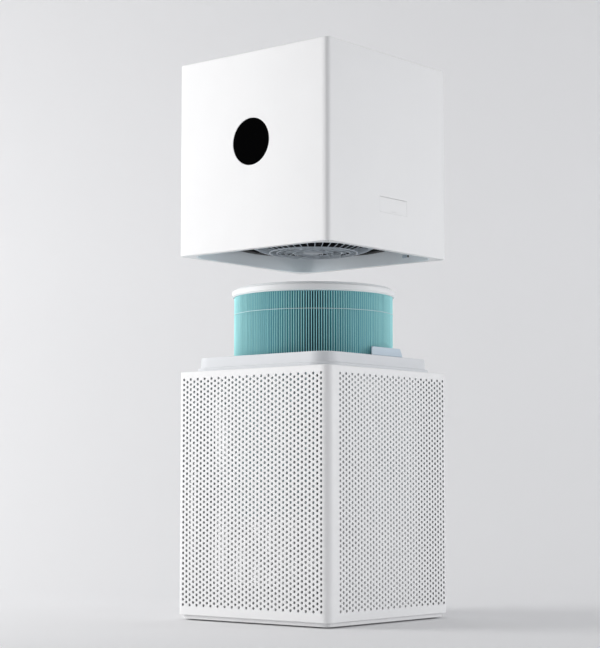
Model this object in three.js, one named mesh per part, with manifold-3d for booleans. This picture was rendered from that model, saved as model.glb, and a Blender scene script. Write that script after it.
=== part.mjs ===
// Tower air purifier with a square section, opened for a filter change: a perforated
// base on a plinth, a round pleated filter raised part of the way out of it, and the
// fan head lifted clear above both. Millimetres, +Z up, front towards -Y, feet on z = 0.
// Lifting the head down by HEAD_TRAVEL, with the filter by FILTER_RAISED, closes it.
import * as THREE from "three";
import { mergeVertices } from "three/addons/utils/BufferGeometryUtils.js";
import Module from "manifold-3d";

const wasm = await Module();
wasm.setup();

// ---- Driving dimensions ------------------------------------------------------------
const FOOTPRINT = 240; // width and depth of the base and of the head
const BASE_TOP = 304; // floor to the top edge of the base
const HEAD_HEIGHT = 243.5; // bottom rim to top face of the head
const HEAD_RAISED = 145; // opening between base and head
const FILTER_RAISED = 91; // how far the filter stands above its seat

const WALL = 2.5; // moulded walls of both boxes
const FIT = 0.3; // gap left between neighbouring pieces
const RUN = 0.08; // radial running clearance of the fan shaft
const BASE_CORNER = 10; // rounding of the base's upright edges
const HEAD_CORNER = 7; // rounding of the head's upright edges

const FOOT_HEIGHT = 1.5;
const FOOT_R = 9;
const FOOT_INSET = 27; // foot centre in from each side
const PLINTH_TOP = 6;
const PLINTH_INSET = 4;
const PLINTH_LIP = 10; // upstand of the plinth inside the base shell

const COLLAR_INSET = 13.5; // collar face in from the base's side
const COLLAR_RISE = 17.6; // collar top above the base's top edge
const COLLAR_CORNER = 24;
const FLANGE_WIDTH = 3.5; // foot flange of the collar
const FLANGE_RISE = 4.5;
const DECK = 3; // deck that closes the base round the collar
const TAB_WIDTH = 57; // raised tab on the collar's right side
const TAB_OFFSET = 10.5; // tab centre behind the middle
const TAB_RISE = 10; // tab above the collar top

const RECESS_DEPTH = 18.1; // socket under the head that takes the collar
const RECESS_CORNER = 25.5;
const CEILING = 3; // thickness of the socket's ceiling
const SEAM = 0.5; // seam left between base and head when closed

const FILTER_SEAT = 28; // height of the filter's seat above the floor
const FILTER_STAND = 11; // closed filter's ring above the base's top edge
const RING_HEIGHT = 8; // end rings of the filter
const GASKET_HEIGHT = 3;
const PLEATS = 54;
const PLEAT_DEPTH = 8; // depth of a pleat's valley
const THREAD_DROP = 22; // glue thread below the top ring

const DISPLAY_R = 29;
const DISPLAY_SHARE = 0.54; // display centre up the head's height
const DOOR_WIDTH = 56; // dust-sensor flap on the head's right side
const DOOR_HEIGHT = 20;
const DOOR_OFFSET = 8; // flap centre behind the middle
const DOOR_UP = 45; // flap's lower edge above the head's bottom
const BUTTON_R = 6;
const BUTTON_TRAVEL = 1.2;
const SHAFT_R = 4;
const BLADES = 9;
const GUARD_RIBS = 24;
const OUTLET_RIBS = 24;

// ---- Sizes that follow -------------------------------------------------------------
const HALF = FOOTPRINT / 2;
const INNER = HALF - WALL; // inner faces of both boxes
const SHELL_BOTTOM = PLINTH_TOP + FIT;
const HEAD_Z = BASE_TOP + HEAD_RAISED; // bottom rim of the raised head
const HEAD_TOP = HEAD_Z + HEAD_HEIGHT;
const HEAD_TRAVEL = HEAD_RAISED - SEAM;

const COLLAR_HALF = HALF - COLLAR_INSET;
const COLLAR_TOP = BASE_TOP + COLLAR_RISE;
const COLLAR_BORE = COLLAR_HALF - WALL;
const FLANGE_HALF = COLLAR_HALF + FLANGE_WIDTH;

const CEILING_Z = HEAD_Z + RECESS_DEPTH; // underside of the socket's ceiling
const FRAME_TOP = CEILING_Z + CEILING;
const SOCKET_HALF = COLLAR_HALF + 5 * FIT;
const MOUTH_HALF = FLANGE_HALF + 4 * FIT;
const MOUTH_DEPTH = FLANGE_RISE + SEAM + 2 * FIT;

const RING_R = COLLAR_BORE - 5 * FIT; // filter rings pass the collar
const MEDIA_R = RING_R - 3;
const CORE_R = MEDIA_R * 0.8; // bore of the pleat pack
const FILTER_Z = FILTER_SEAT + FILTER_RAISED; // underside of the raised filter
const FILTER_TOP = BASE_TOP + FILTER_STAND + FILTER_RAISED;
const MEDIA_Z0 = FILTER_Z + RING_HEIGHT;
const MEDIA_Z1 = FILTER_TOP - RING_HEIGHT;
const LAND_R0 = MEDIA_R * 0.885; // ring under the ceiling that presses the gasket
const LAND_R1 = MEDIA_R;
const LAND_Z = FILTER_TOP - FILTER_RAISED + GASKET_HEIGHT + HEAD_TRAVEL + 2 * FIT;

const GUARD_R = CORE_R * 1.08; // outer ring of the inlet guard
const GUARD_DROP = 11.6; // dome of the guard below the ceiling
const DUCT_R = COLLAR_BORE - 4; // outside of the fan duct, inside the tab's notch
const OUTLET_R = HALF * 0.81; // round outlet in the head's top
const ROOM = HEAD_TOP - WALL - FRAME_TOP; // height inside the head
const FAN_Z = FRAME_TOP + ROOM * 0.02;
const FAN_HEIGHT = ROOM * 0.3;
const FAN_R = DUCT_R - 4 * WALL;
const MOTOR_Z = FAN_Z + FAN_HEIGHT + ROOM * 0.08;
const MOTOR_HEIGHT = ROOM * 0.18;
const MOTOR_R = FAN_R * 0.43;
const BEARING_R = SHAFT_R + 6;
const BEARING_HEIGHT = 7;
const DISPLAY_Z = HEAD_Z + HEAD_HEIGHT * DISPLAY_SHARE;
const DOOR_Z0 = HEAD_Z + DOOR_UP;
const DOOR_Z1 = DOOR_Z0 + DOOR_HEIGHT;
const BUTTON_Z = HEAD_TOP - HEAD_HEIGHT * 0.16;
const SOCKET_X = -HALF * 0.66; // mains socket on the back
const SOCKET_Z = HEAD_Z + HEAD_HEIGHT * 0.2;

// ---- Finishes: colour, roughness, metalness ----------------------------------------
const WHITE = [0xf3f4f6, 0.45, 0];
const PALE = [0xd5dae0, 0.5, 0];
const SLATE = [0xa9b7c9, 0.5, 0];
const GUARD = [0x8f9caa, 0.5, 0];
const GLASS_BLACK = [0x050506, 0.08, 0];
const MEDIA = [0x35b8cf, 0.9, 0];
const RUBBER = [0x3a3c40, 0.85, 0];
const FOAM = [0xe4e7ea, 0.95, 0];
const DARK = [0x26292d, 0.55, 0];
const STEEL = [0xb9bdc2, 0.3, 1];
const BOARD = [0x1f6b45, 0.6, 0];
const COPPER = [0xc08a5a, 0.35, 1];

// ---- Shape helpers -----------------------------------------------------------------
const ROUND = 36; // facets of a large circle
const SMALL = 18; // facets of a small circle
const CORNER_STEPS = 4; // facets of a rounded corner
const OVER = 1; // how far a cutter runs past the faces it cuts

// A three.js geometry as a manifold solid.
function solid(geometry) {
  const flat = geometry.index ? geometry.toNonIndexed() : geometry.clone();
  flat.deleteAttribute("normal");
  flat.deleteAttribute("uv");
  const merged = mergeVertices(flat, 1e-4);
  const index = merged.index.array;
  const faces = [];
  for (let i = 0; i < index.length; i += 3) {
    const [a, b, c] = [index[i], index[i + 1], index[i + 2]];
    if (a !== b && b !== c && c !== a) faces.push(a, b, c);
  }
  return new wasm.Manifold(
    new wasm.Mesh({
      numProp: 3,
      vertProperties: merged.attributes.position.array,
      triVerts: new Uint32Array(faces),
    }),
  );
}

// A manifold solid as a three.js geometry.
function geometryOf(body) {
  const m = body.getMesh();
  const positions = new Float32Array(m.numVert * 3);
  for (let i = 0; i < m.numVert; i++) {
    positions.set(m.vertProperties.subarray(i * m.numProp, i * m.numProp + 3), i * 3);
  }
  const g = new THREE.BufferGeometry();
  g.setAttribute("position", new THREE.BufferAttribute(positions, 3));
  g.setIndex(new THREE.BufferAttribute(new Uint32Array(m.triVerts), 1));
  const shown = g.toNonIndexed();
  shown.computeVertexNormals();
  return shown;
}

// An upright prism on a flat outline.
function prism(outline, z0, z1) {
  const g = new THREE.ExtrudeGeometry(outline, {
    depth: z1 - z0,
    bevelEnabled: false,
    curveSegments: CORNER_STEPS,
  });
  return solid(g.translate(0, 0, z0));
}

// A square outline with rounded corners, centred on the axis.
function rounded(half, radius) {
  const s = new THREE.Shape();
  const c = half - radius;
  s.absarc(c, c, radius, 0, Math.PI / 2);
  s.absarc(-c, c, radius, Math.PI / 2, Math.PI);
  s.absarc(-c, -c, radius, Math.PI, (3 * Math.PI) / 2);
  s.absarc(c, -c, radius, (3 * Math.PI) / 2, 2 * Math.PI);
  s.closePath();
  return s;
}

// A rounded square prism and one with a rounded square bore.
const slab = (half, radius, z0, z1) => prism(rounded(half, radius), z0, z1);
function frameRing(half, radius, wall, z0, z1) {
  const bore = slab(half - wall, radius - wall, z0 - OVER, z1 + OVER);
  return slab(half, radius, z0, z1).subtract(bore);
}

// A box between two corners.
function box([x0, y0, z0], [x1, y1, z1]) {
  const g = new THREE.BoxGeometry(x1 - x0, y1 - y0, z1 - z0);
  return solid(g.translate((x0 + x1) / 2, (y0 + y1) / 2, (z0 + z1) / 2));
}

// An upright cylinder, and one lying front to back.
function disc(r, z0, z1, x = 0, y = 0, facets = SMALL) {
  const g = new THREE.CylinderGeometry(r, r, z1 - z0, facets).rotateX(Math.PI / 2);
  return solid(g.translate(x, y, (z0 + z1) / 2));
}
function peg(r, y0, y1, x, z, facets = SMALL) {
  const g = new THREE.CylinderGeometry(r, r, y1 - y0, facets);
  return solid(g.translate(x, (y0 + y1) / 2, z));
}

// A turned piece: [radius, height] pairs round its section, outside going up.
function turned(section, facets = ROUND) {
  const points = section.map(([r, z]) => new THREE.Vector2(r, z));
  if (section[0][0] > 0) points.push(points[0].clone());
  return solid(new THREE.LatheGeometry(points, facets).rotateX(Math.PI / 2));
}
const tube = (r0, r1, z0, z1, facets = ROUND) =>
  turned([[r0, z0], [r1, z0], [r1, z1], [r0, z1]], facets);

// A bar from one point of the radial plane to another, turned to an angle about +Z.
function rib(r0, z0, r1, z1, width, height, angle) {
  const length = Math.hypot(r1 - r0, z1 - z0);
  const g = new THREE.BoxGeometry(length, width, height);
  g.rotateY(-Math.atan2(z1 - z0, r1 - r0));
  g.translate((r0 + r1) / 2, 0, (z0 + z1) / 2);
  return solid(g.rotateZ(angle));
}

// All the solids of a list as one.
const join = (list) => list.reduce((a, b) => a.add(b));
const around = (count, make) =>
  join(Array.from({ length: count }, (_, i) => make((2 * Math.PI * i) / count)));

const group = new THREE.Group();
group.name = "air_purifier";

// Adds one named piece with a finish of its own.
function piece(name, body, [color, roughness, metalness]) {
  const material = new THREE.MeshStandardMaterial({ color, roughness, metalness });
  const mesh = new THREE.Mesh(geometryOf(body), material);
  mesh.name = name;
  group.add(mesh);
}

const CORNERS = [
  ["front_left", -1, -1],
  ["front_right", 1, -1],
  ["rear_left", -1, 1],
  ["rear_right", 1, 1],
];

// ---- Base --------------------------------------------------------------------------
function buildBase() {
  piece("base_shell", frameRing(HALF, BASE_CORNER, WALL, SHELL_BOTTOM, BASE_TOP), WHITE);

  const plinthHalf = HALF - PLINTH_INSET;
  const plate = slab(plinthHalf, BASE_CORNER, FOOT_HEIGHT, PLINTH_TOP);
  const lip = frameRing(plinthHalf, BASE_CORNER, WALL, PLINTH_TOP - OVER, PLINTH_TOP + PLINTH_LIP);
  piece("plinth", plate.add(lip), WHITE);

  const foot = HALF - FOOT_INSET;
  for (const [where, sx, sy] of CORNERS) {
    piece("foot_" + where, disc(FOOT_R, 0, FOOT_HEIGHT, sx * foot, sy * foot), RUBBER);
  }

  // Upside-down channel that the filter's lower ring stands on, with a centring lip.
  const seatR = RING_R + 5 * FIT;
  piece(
    "filter_seat",
    turned([
      [CORE_R * 0.5, PLINTH_TOP],
      [CORE_R * 0.5 + WALL, PLINTH_TOP],
      [CORE_R * 0.5 + WALL, FILTER_SEAT - WALL - SEAM],
      [seatR, FILTER_SEAT - WALL - SEAM],
      [seatR, PLINTH_TOP],
      [seatR + WALL, PLINTH_TOP],
      [seatR + WALL, FILTER_SEAT + RING_HEIGHT],
      [seatR, FILTER_SEAT + RING_HEIGHT],
      [seatR, FILTER_SEAT - SEAM],
      [CORE_R * 0.5, FILTER_SEAT - SEAM],
    ]),
    PALE,
  );

  // Corner posts carry the deck.
  const post = HALF - BASE_CORNER * 2;
  const deckZ = BASE_TOP - DECK;
  for (const [where, sx, sy] of CORNERS) {
    const shank = disc(WALL * 2, PLINTH_TOP, deckZ, sx * post, sy * post);
    piece("post_" + where, shank, PALE);
  }

  // Deck, foot flange and upright collar in one moulding.
  const deck = slab(INNER - FIT, BASE_CORNER - WALL, deckZ, BASE_TOP);
  const flange = slab(
    FLANGE_HALF, COLLAR_CORNER + FLANGE_WIDTH, BASE_TOP - OVER, BASE_TOP + FLANGE_RISE,
  );
  const wall = slab(COLLAR_HALF, COLLAR_CORNER, BASE_TOP - OVER, COLLAR_TOP);
  const bore = slab(COLLAR_BORE, COLLAR_CORNER - WALL, deckZ - OVER, COLLAR_TOP + OVER);
  piece("filter_collar", deck.add(flange).add(wall).subtract(bore), PALE);

  // Tab that stands on the collar's right wall, with a slanted rear end.
  const y0 = TAB_OFFSET - TAB_WIDTH / 2;
  const y1 = TAB_OFFSET + TAB_WIDTH / 2;
  const outline = new THREE.Shape([
    new THREE.Vector2(y0, 0),
    new THREE.Vector2(y1 + TAB_RISE / 2, 0),
    new THREE.Vector2(y1, TAB_RISE),
    new THREE.Vector2(y0, TAB_RISE),
  ]);
  const thick = WALL - 2 * FIT;
  const g = new THREE.ExtrudeGeometry(outline, { depth: thick, bevelEnabled: false });
  g.rotateX(Math.PI / 2).rotateZ(Math.PI / 2);
  g.translate(COLLAR_BORE + FIT, 0, COLLAR_TOP);
  piece("interlock_tab", solid(g), SLATE);
}

// ---- Filter ------------------------------------------------------------------------
function buildFilter() {
  // Pleated paper: a zigzag ring, its valleys opening outwards and inwards in turn.
  const zigzag = (outer, inner, Path) =>
    new Path(
      Array.from({ length: 2 * PLEATS }, (_, i) => {
        const r = i % 2 ? inner : outer;
        const a = (Math.PI * i) / PLEATS;
        return new THREE.Vector2(r * Math.cos(a), r * Math.sin(a));
      }),
    );
  const pack = zigzag(MEDIA_R, MEDIA_R - PLEAT_DEPTH, THREE.Shape);
  const bore = zigzag(CORE_R + PLEAT_DEPTH, CORE_R, THREE.Path);
  pack.holes.push(bore);
  piece("filter_media", prism(pack, MEDIA_Z0, MEDIA_Z1), MEDIA);

  const core0 = CORE_R - WALL;
  piece("filter_core", tube(core0, CORE_R - FIT, MEDIA_Z0, MEDIA_Z1), PALE);
  piece(
    "filter_top_ring",
    turned([
      [core0, MEDIA_Z1],
      [RING_R, MEDIA_Z1],
      [RING_R, FILTER_TOP - FIT * 3],
      [RING_R - FIT * 3, FILTER_TOP],
      [core0 + FIT * 3, FILTER_TOP],
      [core0, FILTER_TOP - FIT * 3],
    ]),
    WHITE,
  );
  piece(
    "filter_bottom_cap",
    turned([
      [0, FILTER_Z + WALL],
      [core0, FILTER_Z + WALL],
      [core0, FILTER_Z],
      [RING_R, FILTER_Z],
      [RING_R, MEDIA_Z0],
      [0, MEDIA_Z0],
    ]),
    WHITE,
  );
  const gasketR = [LAND_R0 + WALL, LAND_R1 - WALL];
  piece(
    "filter_gasket",
    tube(gasketR[0], gasketR[1], FILTER_TOP, FILTER_TOP + GASKET_HEIGHT),
    FOAM,
  );
  const threadZ = MEDIA_Z1 - THREAD_DROP;
  piece(
    "pleat_thread",
    tube(MEDIA_R + FIT * 2, MEDIA_R + FIT * 5, threadZ - FIT * 2, threadZ + FIT * 2),
    WHITE,
  );
}

// ---- Head: casing and front --------------------------------------------------------
function buildCasing() {
  const rim = HEAD_Z + WALL;
  const topPlate = HEAD_TOP - WALL;
  const doorHole = box(
    [INNER - OVER, DOOR_OFFSET - DOOR_WIDTH / 2, DOOR_Z0],
    [HALF + OVER, DOOR_OFFSET + DOOR_WIDTH / 2, DOOR_Z1],
  );
  const mouth = slab(MOUTH_HALF + WALL, RECESS_CORNER + FLANGE_WIDTH + WALL, HEAD_Z - OVER, rim + OVER);
  const socketHole = box(
    [SOCKET_X - 13, INNER - OVER, SOCKET_Z - 9],
    [SOCKET_X + 13, HALF + OVER, SOCKET_Z + 9],
  );
  const shell = slab(HALF, HEAD_CORNER, HEAD_Z, HEAD_TOP)
    .subtract(slab(INNER, HEAD_CORNER - WALL, rim, topPlate))
    .subtract(mouth)
    .subtract(disc(OUTLET_R, topPlate - OVER, HEAD_TOP + OVER, 0, 0, ROUND))
    .subtract(peg(DISPLAY_R + FIT, -HALF - OVER, OVER - INNER, 0, DISPLAY_Z, ROUND))
    .subtract(peg(BUTTON_R + FIT, INNER - OVER, HALF + OVER, 0, BUTTON_Z))
    .subtract(doorHole)
    .subtract(socketHole);
  piece("head_shell", shell, WHITE);

  // Round glass lens flush in the front, its board behind it and the cup holding both.
  const lensBack = -INNER - SEAM;
  piece("display_lens", peg(DISPLAY_R, -HALF + FIT, lensBack, 0, DISPLAY_Z, ROUND), GLASS_BLACK);
  const boardY = lensBack + FIT;
  piece("display_board", peg(DISPLAY_R - 2, boardY, boardY + 1.6, 0, DISPLAY_Z), BOARD);
  const cupY = -INNER + FIT;
  const cup = peg(DISPLAY_R + 3, cupY, cupY + 5, 0, DISPLAY_Z);
  piece("display_holder", cup.subtract(peg(DISPLAY_R - 1, cupY - OVER, cupY + 3, 0, DISPLAY_Z)), DARK);

  // Stepped socket under the head: wide skirt for the collar's foot, narrower wall above.
  const stepZ = HEAD_Z + MOUTH_DEPTH;
  const shelfZ = stepZ + WALL;
  const mouthCorner = RECESS_CORNER + FLANGE_WIDTH;
  const skirt = slab(MOUTH_HALF + WALL - FIT, mouthCorner + WALL, HEAD_Z, shelfZ)
    .subtract(slab(MOUTH_HALF, mouthCorner, HEAD_Z - OVER, stepZ))
    .subtract(slab(SOCKET_HALF, RECESS_CORNER, stepZ - OVER, shelfZ + OVER));
  piece("socket_skirt", skirt, SLATE);
  const wallHalf = SOCKET_HALF + WALL;
  const wallCorner = RECESS_CORNER + WALL;
  piece("socket_wall", frameRing(wallHalf, wallCorner, WALL, shelfZ, CEILING_Z), SLATE);

  // Ceiling of the socket with the round air inlet and the tab's notch, and the ring
  // under it that presses the filter's gasket.
  const notch = box(
    [COLLAR_BORE - 2, TAB_OFFSET - TAB_WIDTH / 2 - WALL, CEILING_Z - OVER],
    [wallHalf + OVER, TAB_OFFSET + TAB_WIDTH / 2 + TAB_RISE, FRAME_TOP + OVER],
  );
  const ceiling = slab(wallHalf, wallCorner, CEILING_Z, FRAME_TOP)
    .subtract(disc(GUARD_R + FIT, CEILING_Z - OVER, FRAME_TOP + OVER, 0, 0, ROUND))
    .subtract(notch);
  piece("inlet_ceiling", ceiling, DARK);
  piece("gasket_land", tube(LAND_R0, LAND_R1, LAND_Z, CEILING_Z), DARK);

  // Domed guard under the inlet: hub, three rings, spokes inside and ribs outside.
  const low = CEILING_Z - GUARD_DROP;
  const inR = GUARD_R * 0.535;
  const midR = GUARD_R * 0.64;
  const outR = GUARD_R * 0.82;
  const hubR = GUARD_R * 0.28;
  const outZ = low + GUARD_DROP * 0.25;
  const rings = [
    tube(GUARD_R - 2, GUARD_R, CEILING_Z - 1, FRAME_TOP),
    tube(outR - 1, outR + 1, outZ - 1, outZ + 2),
    tube(midR - 1, midR + 1, low - 0.5, low + 2.5),
    tube(inR - 1, inR + 1, low, low + 3),
    disc(hubR, low, low + 3, 0, 0, ROUND),
  ];
  const spokes = around(GUARD_RIBS / 3, (a) => rib(hubR - 1, low + 1.5, midR, low + 1.5, 2, 2, a));
  const middle = around(GUARD_RIBS, (a) => rib(midR, low + 1, outR, outZ + 0.6, 1.6, 1.8, a));
  const outer = around(GUARD_RIBS, (a) => rib(outR, outZ + 0.5, GUARD_R - 1, CEILING_Z + 1, 1.6, 1.9, a));
  piece("inlet_guard", join([...rings, spokes, middle, outer]), GUARD);

  // Grille in the round outlet: rim, hub and ring joined by radial slats.
  const gz0 = HEAD_TOP - WALL - 3;
  const gz1 = HEAD_TOP - 1;
  const rimR = OUTLET_R - FIT;
  const grille = [
    tube(rimR - 3, rimR, gz0, gz1),
    tube(rimR * 0.62, rimR * 0.62 + 2, gz0 + 0.5, gz1 - 0.5),
    disc(rimR * 0.26, gz0, gz1 - 0.6, 0, 0, ROUND),
    around(OUTLET_RIBS, (a) => rib(rimR * 0.24, gz0 + 2, rimR - 2, gz0 + 2, 2, 3, a)),
  ];
  piece("outlet_grille", join(grille), PALE);
}

// ---- Head: fan and electrics -------------------------------------------------------
function buildWorks() {
  // Duct from the inlet to the outlet, drawn in at the top, open at both ends.
  const topZ = HEAD_TOP - WALL - 3 - FIT;
  piece(
    "fan_duct",
    turned([
      [GUARD_R + WALL, FRAME_TOP],
      [DUCT_R, FRAME_TOP],
      [DUCT_R, topZ - ROOM * 0.12],
      [OUTLET_R + 2, topZ],
      [OUTLET_R - 1, topZ],
      [DUCT_R - WALL, topZ - ROOM * 0.14],
      [DUCT_R - WALL, FRAME_TOP + WALL],
      [GUARD_R + WALL, FRAME_TOP + WALL],
    ]),
    PALE,
  );

  // Impeller: dished back plate, swept blades and the ring that ties their tips.
  const top = FAN_Z + FAN_HEIGHT;
  const hubR = FAN_R * 0.32;
  const back = turned([
    [SHAFT_R + FIT, top - FAN_HEIGHT * 0.4],
    [hubR * 0.6, top - FAN_HEIGHT * 0.4],
    [FAN_R - FIT, top - WALL],
    [FAN_R - FIT, top],
    [hubR * 0.8, top],
    [SHAFT_R + FIT, top - FAN_HEIGHT * 0.4 + WALL * 2],
  ]);
  const blade = (a) => {
    const shape = new THREE.Shape();
    const r0 = FAN_R * 0.62;
    const r1 = FAN_R - 1;
    const edge = (r, lag, side) =>
      new THREE.Vector2(r * Math.cos(lag) - side * Math.sin(lag), r * Math.sin(lag) + side * Math.cos(lag));
    const steps = [0, 1, 2, 3, 4].map((i) => i / 4);
    const at = (t, side) => edge(r0 + (r1 - r0) * t, 0.5 * t * t, side);
    shape.setFromPoints([...steps.map((t) => at(t, -1)), ...steps.reverse().map((t) => at(t, 1))]);
    const g = new THREE.ExtrudeGeometry(shape, { depth: FAN_HEIGHT - 2, bevelEnabled: false });
    return solid(g.translate(0, 0, FAN_Z + 1).rotateZ(a));
  };
  const tie = tube(FAN_R * 0.88, FAN_R, FAN_Z, FAN_Z + WALL);
  piece("impeller", join([back, around(BLADES, blade), tie]), WHITE);

  const motorTop = MOTOR_Z + MOTOR_HEIGHT;
  const nutZ = top - FAN_HEIGHT * 0.4 - 4;
  piece("fan_shaft", disc(SHAFT_R, nutZ, motorTop + 3), STEEL);
  piece("fan_nut", disc(SHAFT_R * 2, nutZ - 6, nutZ, 0, 0, 6), STEEL);

  // Motor: open can with a bearing at each end, on a four-armed bracket.
  const seat = BEARING_R + FIT;
  piece(
    "motor_housing",
    turned([
      [seat, MOTOR_Z],
      [MOTOR_R, MOTOR_Z],
      [MOTOR_R, motorTop],
      [seat, motorTop],
    ]),
    DARK,
  );
  const bearing = (z) => tube(SHAFT_R + RUN, BEARING_R, z, z + BEARING_HEIGHT, SMALL);
  piece("bearing_lower", bearing(MOTOR_Z + 1), STEEL);
  piece("bearing_upper", bearing(motorTop - 1 - BEARING_HEIGHT), STEEL);
  const armZ = MOTOR_Z + MOTOR_HEIGHT / 2;
  const arms = around(4, (a) =>
    rib(MOTOR_R + 2, armZ, (DUCT_R - WALL - FIT) * Math.cos(Math.PI / ROUND), armZ, 8, 5, a + Math.PI / 4),
  );
  const band = tube(MOTOR_R + FIT, MOTOR_R + 4, armZ - 6, armZ + 6);
  piece("motor_bracket", join([arms, band]), PALE);

  // Circuit boards upright in the corners beside the duct.
  const boardY = DUCT_R * 0.93;
  const x0 = DUCT_R * 0.56;
  const x1 = INNER - 3;
  const z0 = FRAME_TOP + ROOM * 0.32;
  const z1 = FRAME_TOP + ROOM * 0.72;
  const control = box([x0, -boardY - 1.6, z0], [x1, -boardY, z1])
    .add(box([x0 + 10, -boardY - 5, z0 + 12], [x0 + 32, -boardY - 1, z0 + 34]))
    .add(box([x0 + 14, -boardY - 8, z1 - 20], [x0 + 28, -boardY - 1, z1 - 8]));
  piece("control_board", control, BOARD);
  const power = box([-x1, boardY, z0], [-x0, boardY + 1.6, z1])
    .add(box([-x1 + 8, boardY + 1, z0 + 8], [-x1 + 30, boardY + 14, z0 + 28]))
    .add(peg(7, boardY + 1, boardY + 13, -x0 - 16, z1 - 16));
  piece("power_board", power, BOARD);
  const coil = peg(9, boardY - 12, boardY - FIT, -x1 + 12, z1 - 14);
  piece("mains_choke", coil.subtract(peg(4, boardY - 13, boardY + OVER, -x1 + 12, z1 - 14)), COPPER);

  // Dust sensor behind the flap, with its air passage facing the flap.
  const sensorX = [DUCT_R + FIT, INNER - FIT];
  const sensor = box(
    [sensorX[0], DOOR_OFFSET - 22, DOOR_Z0 - 10],
    [sensorX[1], DOOR_OFFSET + 22, DOOR_Z1 + 14],
  ).subtract(peg(4, DOOR_OFFSET - 30, DOOR_OFFSET + 30, sensorX[1], (DOOR_Z0 + DOOR_Z1) / 2));
  piece("dust_sensor", sensor, STEEL);

  // Flap: hangs from its rounded top edge, flush with the side.
  const thick = WALL - SEAM;
  const hingeZ = DOOR_Z1 - SEAM - thick / 2;
  const flap = box(
    [HALF - thick, DOOR_OFFSET - DOOR_WIDTH / 2 + SEAM, DOOR_Z0 + SEAM],
    [HALF, DOOR_OFFSET + DOOR_WIDTH / 2 - SEAM, hingeZ],
  ).add(peg(thick / 2, DOOR_OFFSET - DOOR_WIDTH / 2 + SEAM, DOOR_OFFSET + DOOR_WIDTH / 2 - SEAM,
    HALF - thick / 2, hingeZ));
  piece("sensor_door", flap, WHITE);

  // Rear key and the switch board behind it.
  const keyBack = INNER - 4;
  const key = peg(BUTTON_R, keyBack, HALF - FIT, 0, BUTTON_Z).add(
    peg(BUTTON_R + 2, keyBack, INNER - FIT, 0, BUTTON_Z),
  );
  piece("rear_button", key, PALE);
  const switchY = keyBack - BUTTON_TRAVEL - FIT;
  piece(
    "button_board",
    box([-12, switchY - 1.6, BUTTON_Z - 9], [12, switchY, BUTTON_Z + 9]),
    BOARD,
  );

  // Two-pin mains socket in the back.
  const body = box(
    [SOCKET_X - 13 + FIT, INNER - 16, SOCKET_Z - 9 + FIT],
    [SOCKET_X + 13 - FIT, HALF - FIT, SOCKET_Z + 9 - FIT],
  ).subtract(box([SOCKET_X - 8, INNER - 12, SOCKET_Z - 4.5], [SOCKET_X + 8, HALF + OVER, SOCKET_Z + 4.5]));
  piece("power_inlet", body, DARK);
  for (const [where, side] of [["left", -1], ["right", 1]]) {
    piece("inlet_pin_" + where, peg(1.2, INNER - 12, HALF - 4, SOCKET_X + side * 4.3, SOCKET_Z), STEEL);
  }
}

buildBase();
buildFilter();
buildCasing();
buildWorks();

export default group;
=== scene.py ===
"""Looks of a square tower air purifier, opened for a filter change.

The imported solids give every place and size. Each sub-assembly below is a class that
builds its visible pieces as surfaces worked out with numpy, dresses them in their
finishes and rides them on the body that carries them. Lengths are metres.
"""

import logging
import math
from collections.abc import Callable, Iterable, Sequence
from dataclasses import dataclass, field
from enum import Enum

import bpy
import numpy as np
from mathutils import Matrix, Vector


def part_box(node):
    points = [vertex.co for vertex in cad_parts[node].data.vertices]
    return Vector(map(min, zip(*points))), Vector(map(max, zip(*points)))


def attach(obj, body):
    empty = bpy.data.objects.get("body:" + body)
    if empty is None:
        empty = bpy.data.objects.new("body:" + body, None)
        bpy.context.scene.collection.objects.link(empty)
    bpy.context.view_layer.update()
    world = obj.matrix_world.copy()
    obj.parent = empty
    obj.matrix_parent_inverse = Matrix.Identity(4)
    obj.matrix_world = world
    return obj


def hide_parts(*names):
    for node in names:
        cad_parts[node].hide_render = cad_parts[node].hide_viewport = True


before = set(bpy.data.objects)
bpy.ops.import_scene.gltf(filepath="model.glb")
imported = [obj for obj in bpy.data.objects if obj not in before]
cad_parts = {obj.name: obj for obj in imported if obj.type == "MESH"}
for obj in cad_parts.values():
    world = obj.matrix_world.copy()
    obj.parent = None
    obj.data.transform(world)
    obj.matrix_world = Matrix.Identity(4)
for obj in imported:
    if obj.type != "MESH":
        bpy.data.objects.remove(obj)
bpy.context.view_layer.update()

MM = 0.001
TURN = 2.0 * math.pi
SOFTEN = 38.0
CORNERS = ("front_left", "front_right", "rear_left", "rear_right")
log = logging.getLogger("purifier")

Array = np.ndarray
Colour = tuple[float, float, float]


class Body(str, Enum):
    """The moving bodies that pieces ride on."""

    BASE = "base"
    FILTER = "filter"
    HEAD = "head"
    FAN = "fan"
    DOOR = "sensor_door"
    BUTTON = "rear_button"


# --------------------------------------------------------------------------------------
# Surfaces
# --------------------------------------------------------------------------------------
@dataclass
class Surface:
    """Points and faces of a piece while it is being worked out."""

    points: Array
    quads: Array
    rims: list[Array] = field(default_factory=list)

    def joined(self, *others: "Surface") -> "Surface":
        """Gives this surface and the others as one, side by side.

        Args:
            others: Surfaces to lay beside this one.

        Returns:
            One surface that holds them all.
        """
        points, quads, rims, start = [self.points], [self.quads], list(self.rims), len(self.points)
        for other in others:
            points.append(other.points)
            quads.append(other.quads + start)
            rims += [rim + start for rim in other.rims]
            start += len(other.points)
        return Surface(np.concatenate(points), np.concatenate(quads), rims)

    def moved(self, offset: Sequence[float]) -> "Surface":
        """Gives the surface carried along an offset."""
        return Surface(self.points + np.asarray(offset), self.quads, self.rims)

    def turned(self, angle: float) -> "Surface":
        """Gives the surface turned about the upright axis by an angle in radians."""
        c, s = math.cos(angle), math.sin(angle)
        spin = np.array([[c, s, 0.0], [-s, c, 0.0], [0.0, 0.0, 1.0]])
        return Surface(self.points @ spin, self.quads, self.rims)


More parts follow.
